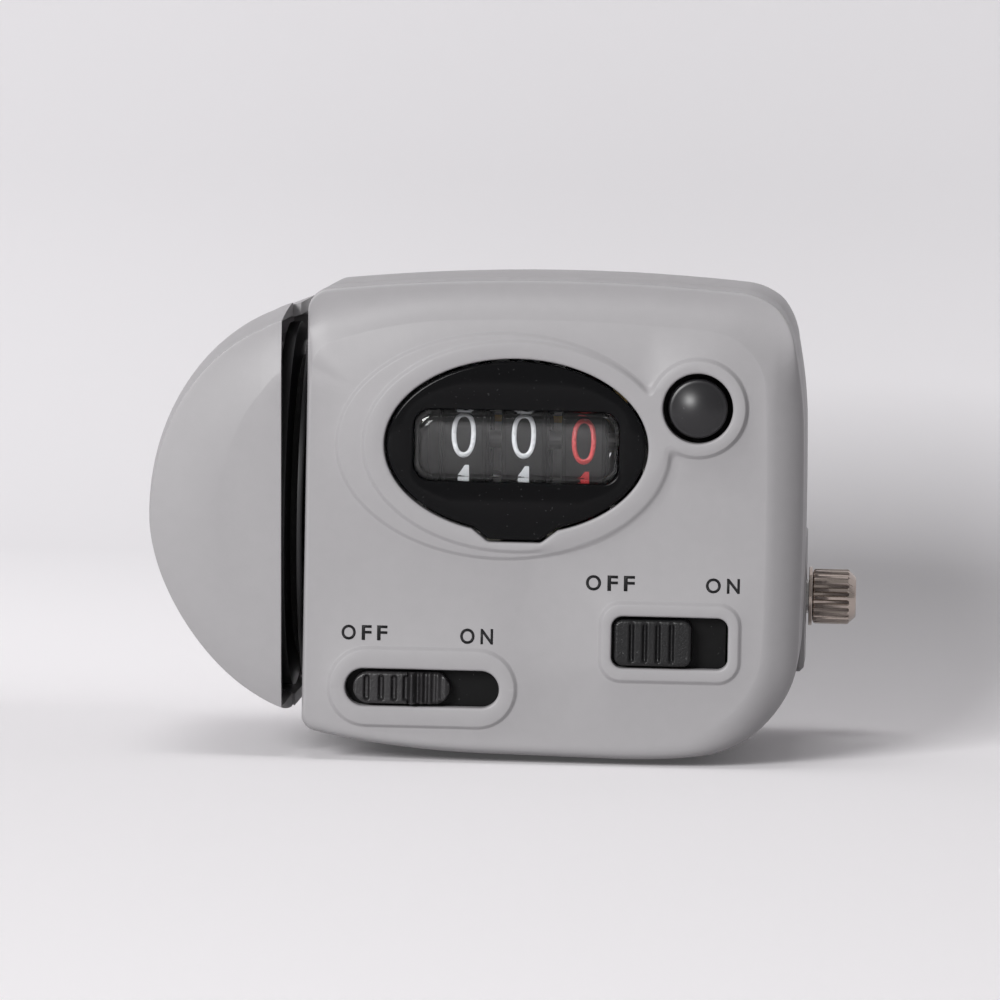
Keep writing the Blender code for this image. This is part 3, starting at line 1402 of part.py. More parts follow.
def clamp_jaw():
    """A plate that slides on the bracket's floor, with a sleeve that takes the clamp screw."""
    floor = bracket_floor + fit_gap
    body = block("clamp_jaw", (jaw_face, floor, clamp_low), (jaw_face + jaw_plate_thickness, clamp_rear_y,
                                                            clamp_high))
    soften(body, edge_break)
    centre = (clamp_screw_y, clamp_middle_height)
    sleeve = rod("sleeve", "X", centre, jaw_sleeve_radius, jaw_face + jaw_plate_thickness / 2, jaw_end,
                 round_facets)
    join(body, sleeve)
    cut(body, rod("bore", "X", centre, clamp_screw_radius + running_gap, jaw_face - cut_overrun,
                  jaw_end + cut_overrun))
    return finish(body, "body_plastic", (jaw_face, *centre))


def grooved_pad(name, start, end, grip_side):
    """A rubber pad with upright grooves on its gripping face."""
    low = clamp_low + edge_break
    high = clamp_high - edge_break
    front = bracket_floor + fit_gap
    back = clamp_rear_y - edge_break
    body = block(name, (start, front, low), (end, back, high))
    grip = start if grip_side < 0 else end
    pitch = (back - front) / pad_groove_count
    for i in range(pad_groove_count):
        middle = front + pitch * (i + 0.5)
        half = pitch * pad_groove_share / 2
        cut(body, block("groove", (grip - pad_groove_depth, middle - half, low - cut_overrun),
                        (grip + pad_groove_depth, middle + half, high + cut_overrun)))
    return finish(body, "rubber", (start, front, clamp_middle_height))


def clamp_screw():
    """The plain rod of the clamp screw."""
    start = jaw_face + clamp_screw_tip_back
    body = rod("clamp_screw", "X", (clamp_screw_y, clamp_middle_height), clamp_screw_radius, start,
               bracket_right + washer_thickness + 2 * fit_gap + knob_length / 2)
    return finish(body, "steel", (bracket_right, clamp_screw_y, clamp_middle_height))


def screw_washer():
    """The thin washer between the ear and the knob."""
    body = tube("screw_washer", "X", (clamp_screw_y, clamp_middle_height), washer_radius,
                clamp_screw_radius + running_gap, bracket_right + fit_gap,
                bracket_right + fit_gap + washer_thickness, round_facets)
    return finish(body, "nickel", (bracket_right, clamp_screw_y, clamp_middle_height))


def thumb_knob():
    """A fluted cylinder with a chamfered outer end and a blind bore for the screw."""
    centre = (clamp_screw_y, clamp_middle_height)
    start = bracket_right + fit_gap + washer_thickness + fit_gap
    end = housing_right + knob_reach
    fluted = []
    for flute in range(knob_flutes):
        ridge = [(share, knob_radius) for share in knob_ridge_shares]
        valley = [(share, knob_radius - knob_flute_depth) for share in knob_flute_shares]
        for share, radius in ridge + valley:
            angle = math.tau * (flute + share) / knob_flutes
            fluted.append((centre[0] + radius * math.cos(angle), centre[1] + radius * math.sin(angle)))
    nose = circle(centre, knob_radius - knob_chamfer, len(fluted))
    body = loft("thumb_knob", "X", [(start, fluted), (end - knob_chamfer, fluted), (end, nose)])
    cut(body, rod("bore", "X", centre, clamp_screw_radius + running_gap / 2, start - cut_overrun,
                  start + knob_length / 2 + fit_gap))
    return finish(body, "nickel", (bracket_right, *centre))


def screw_clip():
    """A ring on the screw inside the ear that keeps it from drawing out."""
    end = ear_block_left - fit_gap
    outer = clamp_screw_radius + clip_thickness * 2
    body = tube("screw_clip", "X", (clamp_screw_y, clamp_middle_height), outer,
                clamp_screw_radius + running_gap / 2, end - clip_thickness, end)
    return finish(body, "steel", (end, clamp_screw_y, clamp_middle_height))


# Screws
def slotted_screw(name, centre, seat, tip, head_back):
    """A round-headed screw along Y: its head between seat and head_back, its tip ahead of the seat."""
    profile = [(tip, 0), (tip, screw_radius), (seat, screw_radius), (seat, screw_head_radius),
               (head_back, screw_head_radius), (head_back, 0)]
    body = turned(name, "Y", centre, profile, screw_facets)
    half = screw_slot_width / 2
    low = min(head_back, head_back + math.copysign(screw_slot_depth, seat - head_back))
    high = max(head_back, head_back + math.copysign(screw_slot_depth, seat - head_back))
    reach = screw_head_radius + cut_overrun
    cut(body, block("slot", (centre[0] - reach, low - slot_open(seat, head_back, -1), centre[1] - half),
                    (centre[0] + reach, high + slot_open(seat, head_back, 1), centre[1] + half)))
    return finish(body, "steel", (centre[0], seat, centre[1]))


def slot_open(seat, head_back, side):
    """The cutter's overrun on the side where a screw's head is open."""
    return cut_overrun if (head_back - seat) * side > 0 else 0.0


def screws():
    """Every screw of the housing, pod, ears and bracket."""
    for number, spot in enumerate(housing_screws, 1):
        slotted_screw(f"housing_screw_{number}", spot, rear_y - screw_head_height,
                      split_y - fit_gap / 2 - screw_bite, rear_y)
    pod_back = face_y + pod_set_back + pod_depth
    for number, spot in enumerate(pod_screws, 1):
        slotted_screw(f"pod_screw_{number}", spot, pod_back - screw_head_height,
                      face_y + pod_split_depth - fit_gap / 2 - screw_bite, pod_back)
    ear_back = rear_y + fit_gap + ear_thickness
    for number, spot in enumerate(ear_screws, 1):
        slotted_screw(f"ear_screw_{number}", spot, ear_back + fit_gap,
                      inner_rear_y - ear_boss_length + boss_inset + fit_gap,
                      ear_back + fit_gap + screw_head_height)
    for number, spot in enumerate(bracket_screw_places, 1):
        slotted_screw(f"bracket_screw_{number}", spot, inner_rear_y - fit_gap,
                      bracket_y + bracket_screw_bite, inner_rear_y - fit_gap - screw_head_height)


def build():
    """Make every piece in turn."""
    for obj in list(bpy.data.objects):
        bpy.data.objects.remove(obj)
    for make in (front_cover, rear_housing, pod_cover, pod_frame, window_mask, window_lens, reset_button,
                 reset_spring, reset_lever, reset_arm, reset_lever_pin, drums, transfer_pinions, shafts,
                 wheel_pinion, idler_gear, counter_frame, measuring_wheel, traction_ring, bushes, shaft_clip,
                 line_lock_slider, lock_lever, lock_pad, lock_pivot_pin, light_slider, slide_switch,
                 circuit_board, lamp, coin_cell, cell_contact, battery_door, clamp_bracket, clamp_jaw,
                 clamp_screw, screw_washer, thumb_knob, screw_clip, screws):
        make()
    grooved_pad("bracket_pad", fixed_jaw_face + fit_gap, rod_left, 1)
    grooved_pad("jaw_pad", rod_right, rod_right + clamp_pad_thickness, -1)


build()
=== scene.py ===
"""Looks of the fishing line counter: the fine surface and finish of each piece.

Shapes are worked out in millimetres, +Z up, with the face towards -Y, and become metres
when a mesh is made. Sizes shared with the solids come from the frame or are repeated here.
"""
import math

import bmesh
import bpy
import numpy as np
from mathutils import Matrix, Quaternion, Vector
from mathutils.geometry import delaunay_2d_cdt


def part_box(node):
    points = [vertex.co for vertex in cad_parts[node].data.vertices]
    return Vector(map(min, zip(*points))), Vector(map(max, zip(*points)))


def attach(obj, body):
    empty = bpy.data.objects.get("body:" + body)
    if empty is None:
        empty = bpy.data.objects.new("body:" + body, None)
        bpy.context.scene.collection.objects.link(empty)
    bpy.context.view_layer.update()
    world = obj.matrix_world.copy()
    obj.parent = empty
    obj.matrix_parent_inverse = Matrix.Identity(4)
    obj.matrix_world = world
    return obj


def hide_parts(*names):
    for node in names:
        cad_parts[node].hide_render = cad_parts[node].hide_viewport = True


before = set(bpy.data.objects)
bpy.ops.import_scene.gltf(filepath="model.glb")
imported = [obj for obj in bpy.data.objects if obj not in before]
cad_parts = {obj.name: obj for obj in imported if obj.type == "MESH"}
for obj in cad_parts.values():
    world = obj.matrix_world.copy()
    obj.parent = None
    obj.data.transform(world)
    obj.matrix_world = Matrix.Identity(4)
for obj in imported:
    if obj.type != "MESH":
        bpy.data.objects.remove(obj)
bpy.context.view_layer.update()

MM = 0.001


def node_box(node):
    """Lowest and highest corner of a solid in millimetres."""
    low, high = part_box(node)
    return np.array(low) / MM, np.array(high) / MM


# Places read from the frame
cover_low, cover_high = node_box("front_cover")
rear_low, rear_high = node_box("rear_housing")
pod_low, pod_high = node_box("pod_cover")
terrace_front = node_box("window_mask")[0][1]
lens_low, lens_high = node_box("window_lens")
button_low, button_high = node_box("reset_button")
wheel_low, wheel_high = node_box("measuring_wheel")
knob_end = node_box("thumb_knob")[1][0]
washer_low, washer_high = node_box("screw_washer")

# Housing
half_width = (cover_high[0] - cover_low[0]) / 2
half_height = (rear_high[2] - rear_low[2]) / 2
middle_x = (cover_low[0] + cover_high[0]) / 2
middle_z = half_height
terrace_height = 0.35
face_y = terrace_front + 2 * terrace_height
split_front = cover_high[1]
split_rear = rear_low[1]
rear_y = rear_high[1]
wall = 1.6
top_crown_drop = 1.6
bottom_crown_rise = 3.3
right_side_bulge = 0.7
half_land = 7.0
corner_radii = (10.0, 6.6, 2.2, 1.5)
parting_round = 0.12
rear_round = 1.4
hole_round = 0.28

# Border of the face, from its crease out to the side; a blend is a start and a length
border_depth = 2.2
border_left = 0.6
border_right = 4.1
border_bottom = 2.1
border_top = 4.4
border_roll_power = 3
right_roll_extra = 1.5
right_roll_power = 1.5
right_roll_blend = (22.0, 9.0)
shoulder_depth = 0.85
shoulder_turn = 0.66
shoulder_edge_power = 14
shoulder_blend = (40.5, 8.0)
crease_sag = 3.2
crease_sag_start = -12.0

# Window, button ring and slider rims on the face
window_x = (lens_low[0] + lens_high[0]) / 2
window_z = (lens_low[2] + lens_high[2]) / 2
window_half_width = 14.25
window_half_height = 9.35
tab_top_half = 4.6
tab_bottom_half = 2.8
tab_drop = 0.9
tab_round = 0.6
fit_gap = 0.3
outer_oval = (18.4, 12.4)
outer_oval_shift = 1.4
inner_oval = (16.9, 11.6)
button_x = (button_low[0] + button_high[0]) / 2
button_z = (button_low[2] + button_high[2]) / 2
button_hole_radius = 3.85
button_ring_radius = 5.4
step_width = 0.58
step_shares = np.linspace(-0.5, 0.5, 9)
soft_step_extra = 2.4
soft_step_angle = -36
soft_step_blend = (0.72, 0.24)
notch_fill = 1.1
notch_rings = np.arange(0.1, 1.3, 0.1)
lock_centre = (-7.7, 8.2)
lock_slot = (17.0, 4.1)
lock_rim = (20.7, 8.7)
light_centre = (19.5, 13.8)
light_slot = (12.8, 5.7)
light_slot_corner = 1.2
light_rim = (15.4, 8.7)
light_rim_corner = 2.4
rim_rise = 0.45

# Fit of the housing to the outline in the photograph
low_front_height = 5.0
low_front_ends = (-10, 20)
low_front_lift = (1.35, 0.7)
corner_draw = 0.85
corner_near = (30.6, 3.2)
corner_high = (37.0, 9.0)

# Openings of the rear housing and of its left wall
door_centre = (2.8, 38.5)
door_hole_radius = 11.0
housing_screws = ((-11.5, 48.4), (28.6, 46.0), (8.4, 4.6), (27.2, 7.3))
screw_recess_radius = 2.2
recess_depth = 1.4
pad_opening = ((-22.05, -19.85, 21.3), (-18.45, -17.65, 26.2))

# Pod
pod_half = (19.8, 23.2)
pod_centre = (-19.75, 26.8)
pod_cut = -23.15
pod_border = (7.8, 5.2)
pod_shoulder_depth = 0.9
pod_edge_drop = 0.5
pod_edge_power = 24
pod_draft = 1.25
pod_wall = 1.4
pod_hollow_shift = 1.5
pod_rim_band = (0.8, 0.2)
pod_flat_share = 0.072
pod_flat_angle = 228
pod_flat_half = 45
pod_back_share = 0.045
pod_back_depth = 27.6
pod_arm_gap = 0.5
slot_lean_band = 3.0
slot_ends = (8.3, 46.8)
slot_shift = (0.22, 0.88)

# Window mask and pane
mask_thickness = 1.6
mask_round = 0.30
pane_size = (22.4, 7.7)
pane_gap = 0.1
pane_corner = 1.8
pane_corner_draw = 0.6
pane_corner_least = 0.5
pane_swell = 1.0
pane_swell_depth = 0.85
pane_wall = 0.4
pane_depth = 2.6

# Number drums; the side profile runs outwards from the band's edge and inwards from its radius
drum_axis = (-11.05, 35.1)
drum_radius = 9.2
drum_bore = 3.0
drum_band = 4.2
drum_side = ((-0.12, 0.0), (0.0, 0.12), (0.0, 0.6), (0.3, 0.6), (0.42, 0.75))
drum_middles = {"tens": -3.85, "metres": 2.8, "tenths": 9.45}
drum_turns = {"tens": 6.3, "metres": 6.3, "tenths": 3.1}
figure_turn = 36
figure_size = (2.7, 5.3)
figure_relief = 0.07
figure_sink = 0.05
figure_slice = 0.3
figure_weight = -0.008
one_size = (1.25, 4.6)
one_outline = ((-0.5, 0.20), (-0.5, -0.06), (0.05, 0.08), (0.05, -0.5),
               (0.5, -0.5), (0.5, 0.5), (0.12, 0.5))

# Button
button_radius = 3.25
button_dome_share = 0.9
button_dome_rise = 1.0
button_rim_fall = 0.33
button_length = 4.2

# Slider knobs: places of ribs and grooves along X from a knob's left end
slider_edge_round = 0.35
slider_fill_band = 0.30
rib_half = 0.42
lock_knob_left = -15.9
lock_knob_middle = 5.95
lock_knob_size = (10.7, 3.5)
lock_knob_corner = 1.74
lock_knob_proud = 0.75
lock_knob_depth = 2.6
lock_grooves = (2.1, 3.72, 5.15, 6.45)
lock_groove_depth = 0.60
lock_broad_end = 6.6
lock_broad_height = 0.45
lock_tall_rib = (7.1, 0.60, 0.95)
lock_fine_ribs = (8.15, 9.05, 9.95, 10.75)
lock_fine_heights = (0.48, 0.36, 0.26, 0.16)
lock_sunk = 0.35
lock_ramp = (7.6, 3.7)
lock_ramp_fall = 0.45
lock_track_corners = ((-17.6, -22.6, 5.6), (0.9, -21.4, 10.8))
light_knob_left = 13.4
light_knob_middle = 4.25
light_knob_size = (8.5, 5.1)
light_knob_corner = 1.0
light_knob_proud = 0.55
light_knob_depth = 2.4
light_grooves = (1.9, 3.35, 4.8, 6.3)
light_groove_depth = 0.32
light_rib_height = 0.15
light_track_corners = ((12.5, -22.6, 10.4), (25.6, -21.4, 17.2))

# Measuring wheel
wheel_axis = (-1.35, 26.8)
wheel_rim_radius = 20.5
wheel_floor_radius = 15.9
wheel_floor_half = 0.25
wheel_web_radius = 14.3
wheel_hub_radius = 3.4
wheel_bore_radius = 1.6
wheel_right_flange = 0.5
wheel_groove_width = 1.4
wheel_left_flange = 1.3
wheel_web_width = 1.2

# Thumb knob and its washer
knob_axis = (19.1, 16.0)
knob_radius = 3.15
knob_flutes = 20
knob_flute_depth = 0.25
knob_gap = 0.04
washer_bore_radius = 2.3
washer_radius = 3.4
washer_round = 0.06

# Carved pieces and finer copies of solids
cut_crease = math.radians(32)
copy_round = 0.12

# Camera, and where a pixel of the photograph lies on the face
face_scale = 0.11
face_pixel = (553.5, 516.0)
face_point = (6.4, 27.4)
image_size = 1000
camera_distance = 900.0
camera_azimuth = 2.9
camera_elevation = 3.8
camera_roll = 1.1
aim_x = face_point[0] + (image_size / 2 - face_pixel[0]) * face_scale
aim_z = face_point[1] + (face_pixel[1] - image_size / 2) * face_scale

# Printed words: each letter's share of the word's width, and each word's middle and size in pixels
word_weight = 0.022
ink_relief = 0.02
ink_sink = 0.05
off_letters = (("O", 0, 0.31), ("F", 0.44, 0.655), ("F", 0.775, 1))
on_letters = (("O", 0, 0.44), ("N", 0.62, 1))
switch_marks = {"lock_off": (off_letters, (364, 633.5), (46, 15)),
                "lock_on": (on_letters, (476.5, 637), (33, 15.5)),
                "light_off": (off_letters, (610.5, 583), (49, 15.5)),
                "light_on": (on_letters, (723, 585.5), (34, 15))}

# Floor, backdrop, world and lamps
floor_reach = 1500
floor_half_width = 1800
wall_height = 900
sweep_start = 28.0
sweep_radius = 62.0
sweep_blend = 16.0
floor_near = (0.96, 0.94, 0.96, 1)
floor_far = (0.93, 0.91, 0.93, 1)
floor_bounce = (0.60, 0.59, 0.60, 1)
wall_seen = (0.70, 0.685, 0.705, 1)
wall_bounce = (0.35, 0.34, 0.35, 1)
paper_glow = 0.06
paper_glow_colour = (1, 0.985, 1, 1)
world_colour = (1, 0.99, 1, 1)
world_light = 0.14
world_seen = 0.40
lamp_target = (0, 0, 20)


# Meshes
def link_object(name, data):
    """A new object in the scene that holds some data."""
    holder = bpy.data.objects.new(name, data)
    bpy.context.scene.collection.objects.link(holder)
    return holder


def new_piece(name, mesh, body, replaces=()):
    """An object at the origin that rides on a body, with the solids it replaces hidden."""
    piece = link_object(name, mesh)
    if replaces:
        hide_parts(*replaces)
    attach(piece, body)
    return piece


def start_edit(mesh):
    """A mesh opened for editing."""
    bm = bmesh.new()
    bm.from_mesh(mesh)
    return bm


def end_edit(bm, mesh):
    """What was edited, written into a mesh."""
    bm.to_mesh(mesh)
    bm.free()
    return mesh


def closed_mesh(name, points, faces):
    """A mesh in metres from points in millimetres, with doubles merged and faces turned outwards."""
    mesh = bpy.data.meshes.new(name)
    mesh.from_pydata((np.asarray(points) * MM).tolist(), [], faces)
    bm = start_edit(mesh)
    bmesh.ops.remove_doubles(bm, verts=bm.verts, dist=2e-7)
    bmesh.ops.dissolve_degenerate(bm, edges=bm.edges, dist=1e-8)
    bmesh.ops.recalc_face_normals(bm, faces=bm.faces)
    return end_edit(bm, mesh)


def add_piece(name, points, faces, body, slot, replaces=(), crease=35):
    """A closed mesh, smooth up to an angle, set on its body."""
    mesh = closed_mesh(name, points, faces)
    mesh.shade_smooth()
    mesh.set_sharp_from_angle(angle=math.radians(crease))
    return new_piece(name, mesh, body, replaces)


def mesh_points(mesh):
    """The points of a mesh as rows of three."""
    place = np.empty(len(mesh.vertices) * 3)
    mesh.vertices.foreach_get("co", place)
    return place.reshape(-1, 3)


def thicken(bm, way):
    """A flat mesh given a thickness: its faces extruded and the new ones moved one way."""
    extruded = bmesh.ops.extrude_face_region(bm, geom=bm.faces[:])
    moved = [item for item in extruded["geom"] if isinstance(item, bmesh.types.BMVert)]
    bmesh.ops.translate(bm, verts=moved, vec=way)


def reshape(piece, *changes):
    """Every point of a finished mesh moved by functions of its place, in millimetres."""
    for change in changes:
        place = change(mesh_points(piece.data) / MM)
        piece.data.vertices.foreach_set("co", (place * MM).ravel())
    piece.data.update()
    return piece


def grid_faces(rows, columns, wrap=True, start=0):
    """Quads between the neighbouring rows of a grid, joined round its columns if it wraps."""
    index = start + np.arange(rows * columns).reshape(rows, columns)
    side = np.roll(index, -1, axis=1) if wrap else index[:, 1:]
    own = index if wrap else index[:, :-1]
    quads = np.stack([own[:-1], side[:-1], side[1:], own[1:]], axis=-1)
    return quads.reshape(-1, 4).tolist()


def merge_parts(parts):
    """Several (points, faces) pairs as one pair."""
    points = []
    faces = []
    count = 0
    for part_points, part_faces in parts:
        part_points = np.asarray(part_points)
        points.append(part_points)
        faces += [[corner + count for corner in face] for face in part_faces]
        count += len(part_points)
    return np.concatenate(points), faces


def loft(rows, capped=True):
    """Quads through rows of points, each row a closed ring, with a flat cap at both ends."""
    rows = np.asarray(rows)
    count, columns = rows.shape[:2]
    faces = grid_faces(count, columns)
    if capped:
        faces.append(list(range(columns)))
        faces.append(list(range((count - 1) * columns, count * columns)))
    return rows.reshape(-1, 3), faces


def along(axis, level, first, second):
    """Points at a level along X or Y; first and second are the other two in X, Y, Z order."""
    level = np.broadcast_to(level, np.broadcast(level, first, second).shape)
    order = {"X": (level, first, second), "Y": (first, level, second)}
    return np.stack(np.broadcast_arrays(*order[axis]), axis=-1)


def rounded_path(corners, radius, steps=5):
    """An open path whose inner corners are parabolas tangent to both sides, within 0.45 of a side."""
    corners = np.asarray(corners, dtype=float)
    share = np.linspace(0, 1, steps + 1)[:, None]
    path = [corners[:1]]
    for before, corner, after in zip(corners, corners[1:], corners[2:]):
        back = before - corner
        on = after - corner
        back_length = np.linalg.norm(back)
        on_length = np.linalg.norm(on)
        turn = math.acos(float(back @ on) / (back_length * on_length)) / 2
        reach = min(radius / math.tan(turn), 0.45 * back_length, 0.45 * on_length)
        start = corner + back / back_length * reach
        end = corner + on / on_length * reach
        path.append((1 - share) ** 2 * start + 2 * share * (1 - share) * corner + share ** 2 * end)
    return np.concatenate(path + [corners[-1:]])


def lathe(axis, centre, profile, facets, closed=False):
    """A profile of level and radius spun round an axis by sine and cosine; closed makes it a ring."""
    profile = np.asarray(profile, dtype=float)
    if closed:
        profile = np.concatenate([profile, profile[:1]])
    angle = np.linspace(0, math.tau, facets, endpoint=False)
    first = centre[0] + profile[:, 1:] * np.cos(angle)
    second = centre[1] + profile[:, 1:] * np.sin(angle)
    rows = along(axis, profile[:, :1], first, second)
    return rows.reshape(-1, 3), grid_faces(len(profile), facets)


def offset_loop(loop, distance):
    """A counter-clockwise loop moved inwards, each point along the normal of its two neighbours."""
    tangent = np.roll(loop, -1, axis=0) - np.roll(loop, 1, axis=0)
    tangent /= np.maximum(np.linalg.norm(tangent, axis=1, keepdims=True), 1e-9)
    return loop + distance * np.stack([-tangent[:, 1], tangent[:, 0]], axis=1)


def round_share(count):
    """Shares of a quarter circle: how far in, and how far back, from the flat to the side."""
    angle = np.linspace(0, math.pi / 2, count)
    return 1 - np.sin(angle), 1 - np.cos(angle)


def box_loop(centre, size, corner, steps):
    """A rectangle with quarter circles for corners, counter-clockwise."""
    half = np.array(size) / 2
    corners = np.array([(1, -1), (1, 1), (-1, 1), (-1, -1)]) * half + centre
    quarter = np.linspace(0, math.pi / 2, steps + 1)
    arcs = []
    for i, (sx, sz) in enumerate(((1, -1), (1, 1), (-1, 1), (-1, -1))):
        angle = quarter + math.pi / 2 * (i - 1)
        middle = corners[i] - np.array((sx, sz)) * corner
        arcs.append(middle + corner * np.stack([np.cos(angle), np.sin(angle)], axis=1))
    return np.concatenate(arcs)


# Distances on the face, in millimetres, negative inside
def box_distance(x, z, centre, size, corner):
    """From a rectangle with round corners: from a smaller sharp one, less the corner's radius."""
    across = np.abs(x - centre[0]) - size[0] / 2 + corner
    up = np.abs(z - centre[1]) - size[1] / 2 + corner
    outside = np.hypot(np.maximum(across, 0), np.maximum(up, 0))
    return outside + np.minimum(np.maximum(across, up), 0) - corner


def oval_distance(x, z, centre, half):
    """From an ellipse, near its edge: its implicit value over the length of its gradient."""
    value = np.hypot((x - centre[0]) / half[0], (z - centre[1]) / half[1])
    slope = np.hypot((x - centre[0]) / half[0] ** 2, (z - centre[1]) / half[1] ** 2)
    return value * (value - 1) / np.maximum(slope, 1e-6)


def circle_distance(x, z, centre, radius):
    """From a circle: the distance to its centre less its radius."""
    return np.hypot(x - centre[0], z - centre[1]) - radius


def smooth_least(a, b, width):
    """The lesser of two distances, with the notch between them filled over a width."""
    share = np.clip(0.5 + 0.5 * (b - a) / width, 0, 1)
    return b + (a - b) * share - width * share * (1 - share)


def ramp(value, start, length):
    """0 up to a start, then rising evenly to 1 over a length."""
    return np.clip((value - start) / length, 0, 1)


def smooth(share):
    """A smooth S from 0 to 1: three times the share squared less twice its cube."""
    return share * share * (3 - 2 * share)


def rise(distance, width):
    """1 inside a contour and 0 outside it, along a smooth S across the width."""
    return smooth(np.clip(0.5 - distance / width, 0, 1))


def roll_over(share, power):
    """0 to 1 along a quarter of a superellipse: flat at first and steep at the end."""
    return 1 - (1 - share ** power) ** (1 / power)


def flat_level(y):
    """A level function whose Y is the same everywhere."""
    return lambda x, z: np.full(len(x), y)


# Housing outline
def outline_points():
    """The housing round its middle: four arcs and four sides, then the crowns and the side bulge."""
    loops = []
    signs = ((1, -1), (1, 1), (-1, 1), (-1, -1))
    quarter = np.linspace(0, math.pi / 2, 17)
    for i, ((sx, sz), radius) in enumerate(zip(signs, corner_radii)):
        angle = quarter + math.pi / 2 * (i - 1)
        arc = np.stack([sx * (half_width - radius) + radius * np.cos(angle),
                        sz * (half_height - radius) + radius * np.sin(angle)], axis=1)
        next_sx, next_sz = signs[(i + 1) % 4]
        next_radius = corner_radii[(i + 1) % 4]
        if i % 2 == 0:
            end = np.array((next_sx * half_width, next_sz * (half_height - next_radius)))
        else:
            end = np.array((next_sx * (half_width - next_radius), next_sz * half_height))
        share = np.linspace(0, 1, 40)[1:-1, None]
        loops += [arc, arc[-1] + (end - arc[-1]) * share]
    x, z = np.concatenate(loops).T
    past_land = np.maximum(0, np.abs(x) - half_land) / (half_width - half_land)
    crown = np.where(z > 0, top_crown_drop * (x / half_width) ** 2, bottom_crown_rise * past_land ** 2)
    bulge = np.where(x > 0, right_side_bulge * (z / half_height) ** 2 * x / half_width, 0)
    return np.stack([x - bulge, z - crown * np.abs(z) / half_height * np.sign(z)], axis=1)


def inset_loop(base, left, right, bottom, top):
    """The outline drawn in by an amount on each side, by a scale and a shift, and set in its place."""
    scale = np.array((1 - (left + right) / 2 / half_width, 1 - (bottom + top) / 2 / half_height))
    shift = np.array(((left - right) / 2, (bottom - top) / 2))
    return base * scale + shift + (middle_x, middle_z)


def even_inset(base, inset):
    """The outline drawn in by the same amount on every side."""
    return inset_loop(base, inset, inset, inset, inset)


# Shells with shaped faces
def oval_loop(centre, half, count=320):
    """An ellipse as points: the cosine across and the sine up, counter-clockwise."""
    angle = np.linspace(0, math.tau, count, endpoint=False)
    return np.stack([centre[0] + half[0] * np.cos(angle), centre[1] + half[1] * np.sin(angle)], axis=1)


def circle_loop(centre, radius, count):
    """A circle as points, counter-clockwise."""
    return oval_loop(centre, (radius, radius), count)


def mask_loop(grow=0.0):
    """The oval from one side of the tab round to the other, then the tab's rounded foot."""
    side = math.acos(tab_top_half / window_half_width)
    angle = np.linspace(-side, math.pi + side, 260)
    oval = np.stack([window_half_width * np.cos(angle), window_half_height * np.sin(angle)], axis=1)
    foot = -window_half_height - tab_drop
    corners = [oval[-1], (-tab_bottom_half, foot), (tab_bottom_half, foot), oval[0]]
    tab = rounded_path(corners, tab_round)
    loop = np.concatenate([oval, tab[1:-1]]) + (window_x, window_z)
    return offset_loop(loop, -grow)


def inside_loop(points, loop):
    """Whether points lie in a loop: how many of its sides cross a ray to the right is odd."""
    x, z = points[:, :1], points[:, 1:]
    after = np.roll(loop, -1, axis=0)
    spans = (loop[:, 1] > z) != (after[:, 1] > z)
    run = np.where(after[:, 1] == loop[:, 1], 1, after[:, 1] - loop[:, 1])
    cross = loop[:, 0] + (z - loop[:, 1]) * (after[:, 0] - loop[:, 0]) / run
    return (spans & (x < cross)).sum(axis=1) % 2 == 1


def fill_face(boundary, holes, rows, level):
    """Triangles through rows of points, between a boundary and its holes; level gives Y at X, Z."""
    loops = [boundary, *holes, *rows]
    starts = np.cumsum([0] + [len(loop) for loop in loops])
    edges = []
    for start, loop in zip(starts, loops):
        index = start + np.arange(len(loop))
        edges.append(np.stack([index, np.roll(index, -1)], axis=1))
    corners = [Vector(point) for point in np.concatenate(loops).tolist()]
    found = delaunay_2d_cdt(corners, np.concatenate(edges).tolist(), [], 0, 1e-5)
    flat = np.array([tuple(point) for point in found[0]])
    triangles = np.array(found[2])
    middle = flat[triangles].mean(axis=1)
    keep = inside_loop(middle, boundary)
    for hole in holes:
        keep &= ~inside_loop(middle, hole)
    x, z = flat.T
    return along("Y", level(x, z), x, z), triangles[keep].tolist()


def soft_share(x, z):
    """1 where the terraces run out softly, below the button, falling to 0 round the oval."""
    turn = np.arctan2(z - window_z, x - window_x) - math.radians(soft_step_angle)
    return smooth(ramp(np.cos(turn), *soft_step_blend))


def face_rise(x, z):
    """Height above the plain face: two ovals that run together with the button ring, and two rims."""
    ring = circle_distance(x, z, (button_x, button_z), button_ring_radius)
    outer = oval_distance(x, z, (window_x - outer_oval_shift, window_z), outer_oval)
    inner = oval_distance(x, z, (window_x, window_z), inner_oval)
    first = rise(smooth_least(outer, ring, notch_fill), step_width)
    second = rise(smooth_least(inner, ring, notch_fill), step_width + soft_step_extra * soft_share(x, z))
    lock = rise(box_distance(x, z, lock_centre, lock_rim, lock_rim[1] / 2), step_width)
    light = rise(box_distance(x, z, light_centre, light_rim, light_rim_corner), step_width)
    return terrace_height * (first + second) + rim_rise * np.maximum(lock, light)


def step_rows(loop, width):
    """A contour repeated across its step by even offsets, from the foot to the top."""
    return [offset_loop(loop, share * np.broadcast_to(width, len(loop))[:, None]) for share in step_shares]


def hole_wall(loop, radius, level, end, inwards=1, floor=False):
    """From a face into a hole: a quarter round of a radius, straight to the end, a floor if asked."""
    rows = []
    for i, b in zip(*round_share(5)):
        ring = offset_loop(loop, -radius * i)
        rows.append(along("Y", level(*ring.T) + inwards * radius * b, *ring.T))
    rows.append(along("Y", end, *loop.T))
    points, faces = loft(rows, capped=False)
    if floor:
        faces.append(list(range(len(points) - len(loop), len(points))))
    return points, faces


